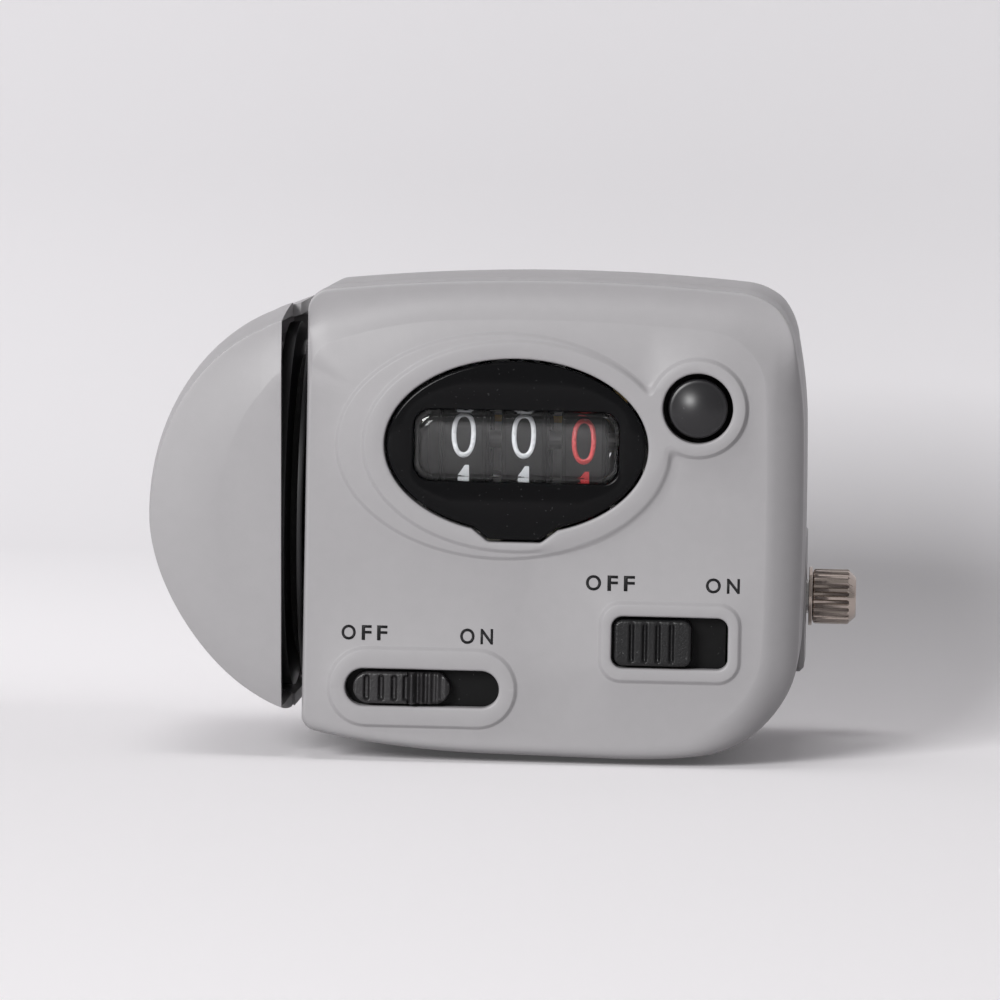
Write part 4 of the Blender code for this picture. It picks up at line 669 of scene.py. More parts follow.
def border_loop(base, insets, share):
    """The border between the crease, at 0, and the outline, at 1; the crease sags at the upper left."""
    loop = inset_loop(base, *(insets * (1 - share)))
    left = ramp(middle_x - loop[:, 0], -crease_sag_start, half_width + crease_sag_start)
    upper = ramp(loop[:, 1], middle_z, half_height)
    loop[:, 1] -= crease_sag * (1 - share) * left ** 2 * upper
    return loop


def shoulder_drop(share):
    """A hollow that falls along a parabola to its full depth at the turn, then climbs again."""
    return shoulder_depth * (1 - (1 - share / shoulder_turn) ** 2)


def border_drop(loop, share):
    """Depth across the border: a hollow shoulder along the top, an even roll along the other sides."""
    top = smooth(ramp(loop[:, 1], *shoulder_blend))
    edge = (border_depth - shoulder_drop(1)) * roll_over(share, shoulder_edge_power)
    right = ramp(loop[:, 0], *right_roll_blend)
    tight = border_depth * roll_over(share, border_roll_power)
    wide = (border_depth + right_roll_extra) * roll_over(share, right_roll_power)
    roll = (1 - right) * tight + right * wide
    return top * (shoulder_drop(share) + edge) + (1 - top) * roll


def front_shell():
    """Face with its contours and openings, a border that slopes and rolls over, sides, inner wall."""
    base = outline_points()
    insets = np.array((border_left, border_right, border_bottom, border_top))
    plateau = border_loop(base, insets, 0)
    ring = circle_loop((button_x, button_z), button_ring_radius, 160)
    rows = []
    for loop in (oval_loop((window_x - outer_oval_shift, window_z), outer_oval),
                 oval_loop((window_x, window_z), inner_oval)):
        rows += step_rows(loop, step_width + soft_step_extra * soft_share(*loop.T))
    for loop in (ring, box_loop(lock_centre, lock_rim, lock_rim[1] / 2 - 0.01, 20),
                 box_loop(light_centre, light_rim, light_rim_corner, 12)):
        rows += step_rows(loop, step_width)
    crossing = oval_distance(*ring.T, (window_x, window_z), inner_oval)
    notches = ring[np.sign(crossing) != np.sign(np.roll(crossing, 1))]
    rows += [circle_loop(notch, radius, 24) for notch in notches for radius in notch_rings]
    holes = [mask_loop(fit_gap), circle_loop((button_x, button_z), button_hole_radius, 120),
             box_loop(lock_centre, lock_slot, lock_slot[1] / 2 - 0.01, 16),
             box_loop(light_centre, light_slot, light_slot_corner, 10)]

    def level(x, z):
        """The face less what rises from it."""
        return face_y - face_rise(x, z)

    parts = [fill_face(plateau, [offset_loop(hole, -hole_round) for hole in holes], rows, level)]
    parts += [hole_wall(hole, hole_round, level, face_y + wall) for hole in holes]
    inner_loop = even_inset(base, wall)
    parts.append(fill_face(inner_loop, holes, [], flat_level(face_y + wall)))
    shares = np.concatenate([np.linspace(0, 0.1, 6), np.linspace(0.15, 0.86, 16), np.linspace(0.88, 1, 12)])
    shell = []
    for share in shares:
        loop = border_loop(base, insets, share)
        shell.append(along("Y", face_y + border_drop(loop, share), *loop.T))
    for inset, back in parting_steps()[::-1]:
        shell.append(along("Y", split_front - back, *even_inset(base, inset).T))
    shell.append(along("Y", split_front, *inner_loop.T))
    shell.append(along("Y", face_y + wall, *inner_loop.T))
    parts.append(loft(shell, capped=False))
    return merge_parts(parts)


def parting_steps():
    """How far in and how far back the small round at the parting line lies, as pairs."""
    return [(parting_round * inward, parting_round * back) for inward, back in zip(*round_share(4))]


def raise_low_front(place):
    """The lower front edge lifted by the square of its lowness, more at the left and the front."""
    low = np.clip((low_front_height - place[:, 2]) / low_front_height, 0, 1) ** 2
    depth = np.clip((split_front - place[:, 1]) / (split_front - face_y), 0, 1)
    place[:, 2] += low * depth * np.interp(place[:, 0], low_front_ends, low_front_lift)
    return place


def draw_in_corner(place):
    """The upper right corner drawn in: evenly towards the side, by the square of the height."""
    place[:, 0] -= corner_draw * ramp(place[:, 0], *corner_near) * ramp(place[:, 2], *corner_high) ** 2
    return place


def rear_shell():
    """Sides from the parting line to a rounded rear edge, a flat back with its openings, inner wall."""
    base = outline_points()
    rows = []
    for inset, back in parting_steps():
        rows.append(along("Y", split_rear + back, *even_inset(base, inset).T))
    inward, back = round_share(9)
    for i, b in zip(inward[::-1], back[::-1]):
        rows.append(along("Y", rear_y - rear_round * b, *even_inset(base, rear_round * i).T))
    inner_loop = even_inset(base, wall)
    inner = [along("Y", rear_y - wall, *inner_loop.T), along("Y", split_rear, *inner_loop.T), rows[0]]
    door = circle_loop(door_centre, door_hole_radius, 160)
    screws = [circle_loop(place, screw_recess_radius, 40) for place in housing_screws]
    rims = [offset_loop(hole, -hole_round) for hole in (door, *screws)]
    level = flat_level(rear_y)
    parts = [fill_face(even_inset(base, rear_round), rims, [], level),
             fill_face(inner_loop, [door], [], flat_level(rear_y - wall))]
    parts.append(hole_wall(door, hole_round, level, rear_y - wall, -1))
    parts += [hole_wall(screw, hole_round, level, rear_y - recess_depth, -1, True) for screw in screws]
    return merge_parts(parts + [loft(rows, capped=False), loft(inner, capped=False)])


# Pod
def pod_loop(inset, cut=0.0):
    """The pod's oval drawn in across and up, closed by a straight side; cut moves that side."""
    half_x, half_z = np.array(pod_half) - inset
    side = pod_cut + cut
    start = math.acos((side - pod_centre[0]) / half_x)
    angle = np.linspace(start, math.tau - start, 220)
    arc = np.stack([pod_centre[0] + half_x * np.cos(angle), pod_centre[1] + half_z * np.sin(angle)], axis=1)
    climb = np.linspace(arc[-1, 1], arc[0, 1], 42)[1:-1]
    return np.concatenate([arc, np.stack([np.full(len(climb), side), climb], axis=1)])


def pod_cover_solid():
    """The pod's front half, solid: a flat oval, a hollow shoulder, a tight edge, sides with draft."""
    shares = np.concatenate([np.linspace(0, 0.12, 6), np.linspace(0.18, 0.9, 16), np.linspace(0.91, 1, 10)])
    rows = []
    for share in shares:
        loop = pod_loop(pod_draft + np.array(pod_border) * (1 - share))
        top = ramp(loop[:, 1], pod_centre[1], pod_half[1])
        hollow = top * (1 - (1 - share) ** 2) + (1 - top) * share ** 2
        drop = pod_shoulder_depth * hollow + pod_edge_drop * roll_over(share, pod_edge_power)
        rows.append(along("Y", pod_low[1] + drop, *loop.T))
    start = pod_low[1] + pod_shoulder_depth + pod_edge_drop
    for share in np.linspace(0.1, 1, 12):
        level = start + share * (pod_high[1] - parting_round - start)
        rows.append(along("Y", level, *pod_loop(pod_draft * (1 - share) ** 1.5).T))
    for inset, back in parting_steps()[-2::-1]:
        rows.append(along("Y", pod_high[1] - back, *pod_loop(inset).T))
    return loft(rows)


def draw_in_rim(place, draw):
    """Points near the pod's rim drawn towards its middle by a share of their distance from it."""
    across, up = place[:, 0] - pod_centre[0], place[:, 2] - pod_centre[1]
    ratio = np.hypot(across / pod_half[0], up / pod_half[1])
    scale = 1 - draw * ramp(ratio, *pod_rim_band)
    place[:, 0] = pod_centre[0] + across * scale
    place[:, 2] = pod_centre[1] + up * scale
    return place


def flatten_pod(place):
    """The pod's rim drawn in at the lower left, by a squared parabola of the angle round it."""
    angle = np.degrees(np.arctan2(place[:, 2] - pod_centre[1], place[:, 0] - pod_centre[0])) % 360
    turn = np.clip(1 - ((angle - pod_flat_angle) / pod_flat_half) ** 2, 0, 1) ** 2
    return draw_in_rim(place, pod_flat_share * turn)


def taper_pod_back(place):
    """The rim of the pod's rear half drawn in evenly towards its back, its arms left out."""
    away = place[:, 0] - pod_centre[0] < pod_cut - pod_centre[0] - pod_arm_gap
    return draw_in_rim(place, pod_back_share * ramp(place[:, 1], pod_high[1], pod_back_depth) * away)


def lean_slot_side(place):
    """The pod's side at the slot leant away from the housing, evenly more towards the top."""
    near = ramp(place[:, 0], pod_cut - slot_lean_band, slot_lean_band)
    place[:, 0] -= near * np.interp(place[:, 2], slot_ends, slot_shift)
    return place


def pod_hollow():
    """The space inside the pod's front half, open towards the slot and the parting line."""
    levels = (pod_low[1] + pod_wall, pod_high[1] + 2)
    return loft([along("Y", level, *pod_loop(pod_wall, pod_hollow_shift).T) for level in levels])


def carve(piece, cutter_points, cutter_faces):
    """Cut a closed shape out of a piece with an exact boolean and drop it."""
    mesh = closed_mesh("cutter", cutter_points, cutter_faces)
    cutter = link_object("cutter", mesh)
    modifier = piece.modifiers.new("cut", "BOOLEAN")
    modifier.solver = "EXACT"
    modifier.object = cutter
    graph = bpy.context.evaluated_depsgraph_get()
    result = bpy.data.meshes.new_from_object(piece.evaluated_get(graph))
    piece.modifiers.clear()
    old = piece.data
    piece.data = result
    bpy.data.meshes.remove(old)
    bpy.data.objects.remove(cutter)
    bpy.data.meshes.remove(mesh)
    result.shade_smooth()
    result.set_sharp_from_angle(angle=cut_crease)
    return piece


def finer_copy(node, body):
    """A merged copy of a solid with small rounds along its edges, in the solid's place."""
    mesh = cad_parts[node].data.copy()
    mesh.materials.clear()
    bm = start_edit(mesh)
    bmesh.ops.remove_doubles(bm, verts=bm.verts, dist=2e-6)
    bmesh.ops.dissolve_limit(bm, angle_limit=math.radians(0.6), verts=bm.verts, edges=bm.edges)
    end_edit(bm, mesh)
    mesh.shade_smooth()
    mesh.set_sharp_from_angle(angle=cut_crease)
    piece = new_piece(f"{node}_finish", mesh, body, (node,))
    bevel = piece.modifiers.new("edges", "BEVEL")
    bevel.width = copy_round * MM
    bevel.segments = 2
    bevel.limit_method = "ANGLE"
    bevel.angle_limit = cut_crease
    bevel.harden_normals = True
    return piece


# Window
def window_mask():
    """A flat mask with a rounded rim, an opening for the pane and a back."""
    loop = mask_loop(0.0)
    pane = box_loop((window_x, window_z), np.array(pane_size) + 2 * pane_gap, pane_corner + pane_gap, 12)
    front = flat_level(terrace_front)
    back = terrace_front + mask_thickness
    parts = [fill_face(offset_loop(loop, mask_round), [offset_loop(pane, -hole_round)], [], front),
             fill_face(loop, [pane], [], flat_level(back)), hole_wall(pane, hole_round, front, back)]
    rows = [along("Y", terrace_front + mask_round * b, *offset_loop(loop, mask_round * i).T)
            for i, b in zip(*round_share(5))]
    parts.append(loft(rows + [along("Y", back, *loop.T)], capped=False))
    return merge_parts(parts)


def window_pane():
    """A clear cap of even thickness: rings drawn in by a long quarter round, outside and inside."""
    def ring(size, level, inset=0.0):
        """The pane's outline at a level, drawn in with its corners."""
        corner = max(pane_corner - inset * pane_corner_draw, pane_corner_least)
        return along("Y", level, *box_loop((window_x, window_z), np.array(size) - 2 * inset, corner, 14).T)

    def cap(size, front):
        """Rings from the rim forwards, each drawn in by the swell's quarter round."""
        angles = np.linspace(0, 1, 18) * math.pi / 2
        return [ring(size, front + pane_swell_depth * (1 - math.sin(angle)),
                     pane_swell * (1 - math.cos(angle))) for angle in angles]

    back = lens_low[1] + pane_depth
    small = np.array(pane_size) - 2 * pane_wall
    outer = cap(pane_size, lens_low[1])
    inner = cap(small, lens_low[1] + pane_wall)
    return loft(outer[::-1] + [ring(pane_size, back), ring(small, back)] + inner)


# Number drums
def drum(middle):
    """A number drum: a wide band, then at each side a step down and a narrow carry rim."""
    half = drum_band / 2
    side = [(half + out, drum_radius - down) for out, down in drum_side]
    side.append((side[-1][0], drum_bore))
    profile = [(middle - level, radius) for level, radius in side[::-1]]
    profile += [(middle + level, radius) for level, radius in side]
    return lathe("X", drum_axis, profile, 160, closed=True)


def digit_mesh(text, weight=figure_weight):
    """The built-in letter shape of a figure as a flat mesh."""
    curve = bpy.data.curves.new("figure", "FONT")
    curve.body = text
    curve.resolution_u = 6
    curve.offset = weight
    holder = link_object("figure", curve)
    graph = bpy.context.evaluated_depsgraph_get()
    mesh = bpy.data.meshes.new_from_object(holder.evaluated_get(graph))
    bpy.data.objects.remove(holder)
    bpy.data.curves.remove(curve)
    return mesh


def one_mesh():
    """The figure 1 with a slanted flag, as a flat mesh from a list of corners."""
    flat = bmesh.new()
    flat.faces.new([flat.verts.new((x, z, 0)) for x, z in one_outline])
    flat.normal_update()
    bmesh.ops.triangulate(flat, faces=flat.faces[:])
    return end_edit(flat, bpy.data.meshes.new("figure"))


def drum_figures(name, middle, body, turn):
    """Ten figures wrapped round a drum: across stays across, up becomes an angle about the axis."""
    whole = bmesh.new()
    for value in range(10):
        mesh = one_mesh() if value == 1 else digit_mesh(str(value))
        place = mesh_points(mesh)
        low, high = place.min(axis=0), place.max(axis=0)
        scale = np.array((*(one_size if value == 1 else figure_size), 0)) / np.maximum(high - low, 1e-9)
        mesh.vertices.foreach_set("co", ((place - (low + high) / 2) * scale).ravel())
        bm = start_edit(mesh)
        half = figure_size[1] / 2
        for level in np.arange(figure_slice - half, half, figure_slice):
            everything = bm.verts[:] + bm.edges[:] + bm.faces[:]
            bmesh.ops.bisect_plane(bm, geom=everything, plane_co=(0, level, 0), plane_no=(0, 1, 0))
        thicken(bm, (0, 0, figure_relief))
        end_edit(bm, mesh)
        across, up, out = mesh_points(mesh).T
        angle = up / drum_radius + math.radians(turn - figure_turn * value)
        reach = drum_radius - figure_sink + out
        place = along("X", middle + across, drum_axis[0] - reach * np.cos(angle),
                      drum_axis[1] + reach * np.sin(angle))
        mesh.vertices.foreach_set("co", (place * MM).ravel())
        whole.from_mesh(mesh)
        bpy.data.meshes.remove(mesh)
    bmesh.ops.remove_doubles(whole, verts=whole.verts, dist=1e-7)
    bmesh.ops.recalc_face_normals(whole, faces=whole.faces)
    return new_piece(name, end_edit(whole, bpy.data.meshes.new(name)), body)


# Button and sliders
def reset_button():
    """A domed button: a parabola over its cap, a small rounded rim, straight sides."""
    dome_radius = button_radius * button_dome_share
    dome = [(button_low[1] + button_dome_rise * share ** 2, dome_radius * share)
            for share in np.linspace(0, 1, 16)]
    rim = [(dome[-1][0] + button_rim_fall * (1 - math.cos(angle)),
            dome_radius + (button_radius - dome_radius) * math.sin(angle))
           for angle in np.linspace(0.3, 1.57, 6)]
    end = button_low[1] + button_length
    return lathe("Y", (button_x, button_z), dome + rim + [(end, button_radius), (end, 0.0)], 96)


def ridge_line(x, centres, half, height):
    """Rounded ribs along X: each a raised cosine round its centre."""
    reach = np.clip(np.abs(x[:, None] - np.asarray(centres)) / half, 0, 1)
    return (np.asarray(height) * (0.5 + 0.5 * np.cos(math.pi * reach))).max(axis=1)


def slider_knob(centre, size, corner, front, depth, profile):
    """A knob with a round outline: its front follows a profile along X and is filled near its sides."""
    x = np.linspace(centre[0] - size[0] / 2, centre[0] + size[0] / 2, 150)
    shares = np.concatenate([[0], np.linspace(0.02, 0.98, 34), [1]])
    past_corner = np.maximum(np.abs(x - centre[0]) - size[0] / 2 + corner, 0)
    reach = size[1] / 2 - corner + np.sqrt(np.maximum(corner ** 2 - past_corner ** 2, 0.0004))
    z = centre[1] + (2 * shares[:, None] - 1) * reach
    side = reach - np.abs(z - centre[1])
    shape, filled = profile(x)
    top = front - filled - (shape - filled) * ramp(side, slider_fill_band, slider_fill_band)
    edge = np.minimum(side, size[0] / 2 - np.abs(x - centre[0]))
    inward = 1 - np.clip(edge / slider_edge_round, 0, 1)
    y = top + slider_edge_round * (1 - np.sqrt(1 - inward ** 2))
    grid = np.stack(np.broadcast_arrays(x, y, z), axis=-1)
    floor = grid.copy()
    floor[..., 1] = front + depth
    rows, columns = grid.shape[:2]
    count = rows * columns
    index = np.arange(count).reshape(rows, columns)
    rim = np.concatenate([index[0], index[1:, -1], index[-1, -2::-1], index[-2:0:-1, 0]])
    after = np.roll(rim, -1)
    faces = grid_faces(rows, columns, wrap=False) + grid_faces(rows, columns, wrap=False, start=count)
    faces += np.stack([rim, after, after + count, rim + count], axis=1).tolist()
    return np.concatenate([grid.reshape(-1, 3), floor.reshape(-1, 3)]), faces


# Finishes: shared effects
def feed(tree, socket, value):
    """A value into a socket: a link from another socket, or else a plain number or colour."""
    if isinstance(value, bpy.types.NodeSocket):
        tree.links.new(value, socket)
    else:
        socket.default_value = value


def set_inputs(node, **values):
    """Plain values on a node's own sockets, named with _ for a space."""
    for name, value in values.items():
        node.inputs[name.replace("_", " ")].default_value = value


def new_group(name, numbers, outputs):
    """A shader node group with a vector input, number inputs at their usual values, and outputs."""
    group = bpy.data.node_groups.new(name, "ShaderNodeTree")
    group.interface.new_socket("Vector", in_out="INPUT", socket_type="NodeSocketVector")
    for socket, value in numbers.items():
        made = group.interface.new_socket(socket, in_out="INPUT", socket_type="NodeSocketFloat")
        made.default_value = value
    for socket in outputs:
        group.interface.new_socket(socket, in_out="OUTPUT", socket_type="NodeSocketFloat")
    return group, group.nodes.new("NodeGroupInput").outputs, group.nodes.new("NodeGroupOutput").inputs


def math_node(tree, operation, first, second):
    """One sum, product or bound of two sockets or numbers."""
    node = tree.nodes.new("ShaderNodeMath")
    node.operation = operation
    feed(tree, node.inputs[0], first)
    feed(tree, node.inputs[1], second)
    return node.outputs[0]


def noise(tree, vector, scale, detail, roughness):
    """Cloudy noise from 0 to 1: octaves of a smooth random field, each finer and weaker."""
    node = tree.nodes.new("ShaderNodeTexNoise")
    feed(tree, node.inputs["Vector"], vector)
    feed(tree, node.inputs["Scale"], scale)
    set_inputs(node, Detail=detail, Roughness=roughness)
    return node.outputs["Fac"]


def colour_mix(tree, share, first, second):
    """The first colour at a share of 0, the second at 1, even between them."""
    node = tree.nodes.new("ShaderNodeMix")
    node.data_type = "RGBA"
    feed(tree, node.inputs["Factor"], share)
    feed(tree, node.inputs["A"], first)
    feed(tree, node.inputs["B"], second)
    return node.outputs["Result"]


def grain_group():
    """Moulded grain: a fine and a coarse noise as height, the coarse one as a mask for colour."""
    numbers = {"Fine Scale": 9000.0, "Coarse Scale": 900.0, "Coarse Share": 0.3}
    group, start, end = new_group("moulded_grain", numbers, ("Height", "Mask"))
    fine = noise(group, start["Vector"], start["Fine Scale"], 2.0, 0.6)
    coarse = noise(group, start["Vector"], start["Coarse Scale"], 3.0, 0.5)
    weighted = math_node(group, "MULTIPLY", coarse, start["Coarse Share"])
    group.links.new(math_node(group, "ADD", fine, weighted), end["Height"])
    group.links.new(coarse, end["Mask"])
    return group


def handling_group():
    """Handling marks: a cloudy mask that changes gloss, with a few fine specks of dust."""
    numbers = {"Cloud Scale": 90.0, "Speck Scale": 2600.0, "Speck Level": 0.74}
    group, start, end = new_group("handling", numbers, ("Cloud", "Specks"))
    cloud = noise(group, start["Vector"], start["Cloud Scale"], 4.0, 0.6)
    speck = noise(group, start["Vector"], start["Speck Scale"], 1.0, 0.5)
    above = math_node(group, "SUBTRACT", speck, start["Speck Level"])
    strong = math_node(group, "MULTIPLY", above, 30.0)
    group.links.new(cloud, end["Cloud"])
    group.links.new(math_node(group, "MINIMUM", math_node(group, "MAXIMUM", strong, 0.0), 1.0), end["Specks"])
    return group


def place_group(tree, group, vector, **values):
    """A group in a material, with its own values."""
    node = tree.nodes.new("ShaderNodeGroup")
    node.node_tree = group
    tree.links.new(vector, node.inputs["Vector"])
    set_inputs(node, **values)
    return node.outputs


grain = grain_group()
handling = handling_group()


def finish(name, colour, roughness, metallic=0.0, tint=0.08, rough_spread=0.08, bump=0.0, specks=0.0,
           fine=9000.0, coarse=900.0, cloud=90.0, specular=0.5):
    """A finish whose colour, gloss and height vary by grain and handling in the object's own space."""
    material = bpy.data.materials.new(name)
    material.use_nodes = True
    tree = material.node_tree
    shader = tree.nodes["Principled BSDF"]
    vector = tree.nodes.new("ShaderNodeTexCoord").outputs["Object"]
    texture = place_group(tree, grain, vector, Fine_Scale=fine, Coarse_Scale=coarse)
    marks = place_group(tree, handling, vector, Cloud_Scale=cloud)
    dark, pale = [(*[min(1, channel * shift) for channel in colour], 1) for shift in (1 - tint, 1 + tint)]
    base = colour_mix(tree, texture["Mask"], dark, pale)
    if specks:
        dust = (*[min(1, channel * 0.5 + 0.35) for channel in colour], 1)
        base = colour_mix(tree, math_node(tree, "MULTIPLY", marks["Specks"], specks), base, dust)
    tree.links.new(base, shader.inputs["Base Color"])
    spread = math_node(tree, "SUBTRACT", marks["Cloud"], 0.5)
    spread = math_node(tree, "MULTIPLY", spread, 2 * rough_spread)
    rough = math_node(tree, "ADD", spread, roughness)
    tree.links.new(math_node(tree, "MAXIMUM", rough, 0.02), shader.inputs["Roughness"])
    set_inputs(shader, Metallic=metallic, Specular_IOR_Level=specular)
    if bump:
        relief = tree.nodes.new("ShaderNodeBump")
        set_inputs(relief, Strength=1.0, Distance=bump * MM)
        tree.links.new(texture["Height"], relief.inputs["Height"])
        tree.links.new(relief.outputs["Normal"], shader.inputs["Normal"])
    return material


def clear_finish(name, colour, roughness):
    """Clear moulded plastic with faint handling marks, through which lamps reach what lies behind."""
    material = finish(name, colour, roughness, tint=0.01, rough_spread=0.012, cloud=160.0)
    tree = material.node_tree
    shader = tree.nodes["Principled BSDF"]
    set_inputs(shader, Transmission_Weight=1.0, IOR=1.04, Coat_Weight=0.7, Coat_Roughness=roughness)
    shade = tree.nodes.new("ShaderNodeLightPath").outputs["Is Shadow Ray"]
    solid = math_node(tree, "SUBTRACT", 1.0, math_node(tree, "MULTIPLY", shade, 0.9))
    tree.links.new(solid, shader.inputs["Alpha"])
    return material


finishes = {
    "body": finish("body_satin", (0.385, 0.375, 0.385), 0.42, tint=0.03, bump=0.006, fine=5200.0,
                   coarse=700.0, specular=0.32),
    "mask": finish("mask_gloss", (0.0045, 0.0045, 0.005), 0.12, tint=0.1, rough_spread=0.03, bump=0.0005,
                   specks=0.06, specular=0.10),
    "lens": clear_finish("lens_clear", (0.97, 0.98, 0.98), 0.025),
    "button": finish("button_gloss", (0.013, 0.0125, 0.014), 0.36, tint=0.15, bump=0.0015, specks=0.10),
    "slider": finish("slider_grained", (0.014, 0.013, 0.014), 0.36, tint=0.4, rough_spread=0.10,
                     bump=0.045, specks=0.18, fine=4200.0),
    "dark_slider": finish("slider_dark", (0.004, 0.004, 0.0045), 0.34, tint=0.4, rough_spread=0.10,
                          bump=0.040, specks=0.15, fine=4200.0, specular=0.38),
    # Track: the slider's black plastic made darker still, as painted shade for the slot floors that lie in
    # shade
    "track": finish("track_painted_shade", (0.0030, 0.0030, 0.0032), 0.38, tint=0.3, rough_spread=0.10,
                    bump=0.006, specks=0.10, specular=0.15),
    "drum": finish("drum_satin", (0.006, 0.006, 0.006), 0.60, tint=0.25, bump=0.001, specks=0.03,
                   specular=0.06),
    "white_figure": finish("white_figure", (0.60, 0.61, 0.63), 0.45, tint=0.03, bump=0.002),
    "red_figure": finish("red_figure", (0.36, 0.022, 0.024), 0.45, tint=0.05, bump=0.002),
    "ink": finish("ink_dark", (0.010, 0.010, 0.011), 0.5, tint=0.2, bump=0.002, specular=0.25),
    "wheel": finish("wheel_black", (0.010, 0.010, 0.011), 0.42, tint=0.25, bump=0.004),
    "nylon": finish("nylon_cream", (0.60, 0.57, 0.50), 0.42, tint=0.05, bump=0.003, coarse=500.0),
    "steel": finish("steel_bright", (0.58, 0.57, 0.56), 0.28, 1.0, tint=0.05, bump=0.0008),
    # Frame: the counter frame's steel made near black, far darker than the bright steel of its solid
    "frame": finish("steel_near_black", (0.030, 0.029, 0.028), 0.45, 1.0, tint=0.15, rough_spread=0.10,
                    bump=0.001),
    "nickel": finish("nickel_warm", (0.43, 0.37, 0.33), 0.17, 1.0, tint=0.06, bump=0.0012),
    "brass": finish("brass_cut", (0.62, 0.44, 0.19), 0.32, 1.0, bump=0.001),
    "rubber": finish("rubber_black", (0.016, 0.016, 0.016), 0.78, tint=0.25, bump=0.010, specks=0.10,
                     specular=0.3),
    "board": finish("board_green", (0.022, 0.13, 0.05), 0.42, tint=0.15, bump=0.002, coarse=400.0),
    "lamp": clear_finish("lamp_clear", (0.92, 0.94, 0.97), 0.06),
}


def paint(piece, name):
    """One finish on the whole piece."""
    piece.data.materials.clear()
    piece.data.materials.append(finishes[name])
    return piece


# Sliders, wheel and knob
def lock_profile(x):
    """Broad ribs, a tall ridge, finer ribs that sink, then a ramp; and the same without grooves."""
    x = x - lock_knob_left
    grooves = ridge_line(x, lock_grooves, rib_half, lock_groove_depth)
    tall = ridge_line(x, lock_tall_rib[:1], *lock_tall_rib[1:])
    fine = ridge_line(x, lock_fine_ribs, rib_half, lock_fine_heights)
    fall = lock_sunk + lock_ramp_fall * ramp(x, *lock_ramp)
    broad = [np.where(x < lock_broad_end, lock_broad_height - part, 0) for part in (grooves, 0)]
    return [np.maximum(np.maximum(part, tall), fine) - fall for part in broad]


def light_profile(x):
    """Five finger ribs of one height; and the same without grooves."""
    grooves = ridge_line(x - light_knob_left, light_grooves, rib_half, light_groove_depth)
    return light_rib_height - grooves, np.full(len(x), light_rib_height)


def rough_block(low, high):
    """A box between two corners, as rings along X."""
    loop = np.array([(low[1], low[2]), (high[1], low[2]), (high[1], high[2]), (low[1], high[2])])
    return loft([along("X", level, *loop.T) for level in (low[0], high[0])])


def measuring_wheel():
    """A V groove between two flanges, rounded edges, a web, a rim and a hub, spun round X."""
    rim, floor = wheel_rim_radius, wheel_floor_radius
    right, end = wheel_high[0], wheel_low[0]
    groove_right = right - wheel_right_flange
    groove_left = groove_right - wheel_groove_width
    left = groove_left - wheel_left_flange
    middle = (groove_left + groove_right) / 2
    web = right - wheel_web_width
    right_flange = [(right, wheel_bore_radius), (right, rim - 0.2), (right - 0.08, rim - 0.04),
                    (right - 0.2, rim), (groove_right, rim), (groove_right - 0.08, rim - 0.2)]
    groove = [(middle + 0.32, floor + 0.1), (middle + wheel_floor_half, floor),
              (middle - wheel_floor_half, floor), (middle - 0.32, floor + 0.1)]
    left_flange = [(groove_left + 0.08, rim - 0.2), (groove_left, rim), (left + 0.35, rim),
                   (left + 0.12, rim - 0.1), (left, rim - 0.35), (left, wheel_web_radius)]
    hub = [(web, wheel_web_radius), (web, wheel_hub_radius), (end + 0.2, wheel_hub_radius),
           (end, wheel_hub_radius - 0.2), (end, wheel_bore_radius)]
    return lathe("X", wheel_axis, right_flange + groove + left_flange + hub, 240, closed=True)


def thumb_knob():
    """A fluted knob: rings whose radius dips in round flutes, a chamfer at both ends, a dished cap."""
    angle = np.linspace(0, math.tau, 400, endpoint=False)
    dip = knob_flute_depth * (1 - np.clip(0.5 + 0.9 * np.cos(angle * knob_flutes), 0, 1))
    start, end = washer_high[0] + knob_gap, knob_end
    near = [(start, 0.35, 0.0), (start + 0.15, 0.08, 0.6), (start + 0.3, 0.0, 1.0)]
    far = [(end - 0.95, 0.0, 1.0), (end - 0.88, 0.04, 0.7), (end - 0.75, 0.16, 0.0), (end - 0.1, 0.74, 0.0),
           (end, 0.88, 0.0), (end - 0.12, 1.2, 0.0), (end - 0.14, 2.0, 0.0)]
    rows = []
    for level, inset, flute_share in near + far:
        radius = knob_radius - inset - dip * flute_share
        across = knob_axis[0] + radius * np.cos(angle)
        rows.append(along("X", level, across, knob_axis[1] + radius * np.sin(angle)))
    return loft(rows)


def washer():
    """A thin ring with rounded outer edges."""
    start, end = washer_low[0], washer_high[0]
    inside = washer_radius - washer_round
    profile = [(start, washer_bore_radius), (start, inside), (start + washer_round, washer_radius),
               (end - washer_round, washer_radius), (end, inside), (end, washer_bore_radius)]
    return lathe("X", knob_axis, profile, 120, closed=True)


# Printed words
def face_place(pixel):
    """X and Z on the face seen at a pixel of the picture, with the camera's turn undone."""
    across = (pixel[0] - image_size / 2) * face_scale
    up = (image_size / 2 - pixel[1]) * face_scale
    turn = math.radians(camera_roll)
    return (aim_x + across * math.cos(turn) - up * math.sin(turn),
            aim_z + across * math.sin(turn) + up * math.cos(turn))


def printed(name, letters, centre, size):
    """Letters, each scaled into its share of a word's box about a centre, as a thin film on the face."""
    bm = bmesh.new()
    for letter, start, end in letters:
        mesh = digit_mesh(letter, word_weight)
        place = mesh_points(mesh)[:, :2]
        low, high = place.min(axis=0), place.max(axis=0)
        share = (place - low) / (high - low)
        x = centre[0] + size[0] * (start + (end - start) * share[:, 0] - 0.5)
        z = centre[1] + size[1] * (share[:, 1] - 0.5)
        mesh.vertices.foreach_set("co", (along("Y", face_y - ink_relief, x, z) * MM).ravel())
        bm.from_mesh(mesh)
        bpy.data.meshes.remove(mesh)
    thicken(bm, (0, (ink_relief + ink_sink) * MM, 0))
    bmesh.ops.recalc_face_normals(bm, faces=bm.faces)
    return new_piece(name, end_edit(bm, bpy.data.meshes.new(name)), "housing")


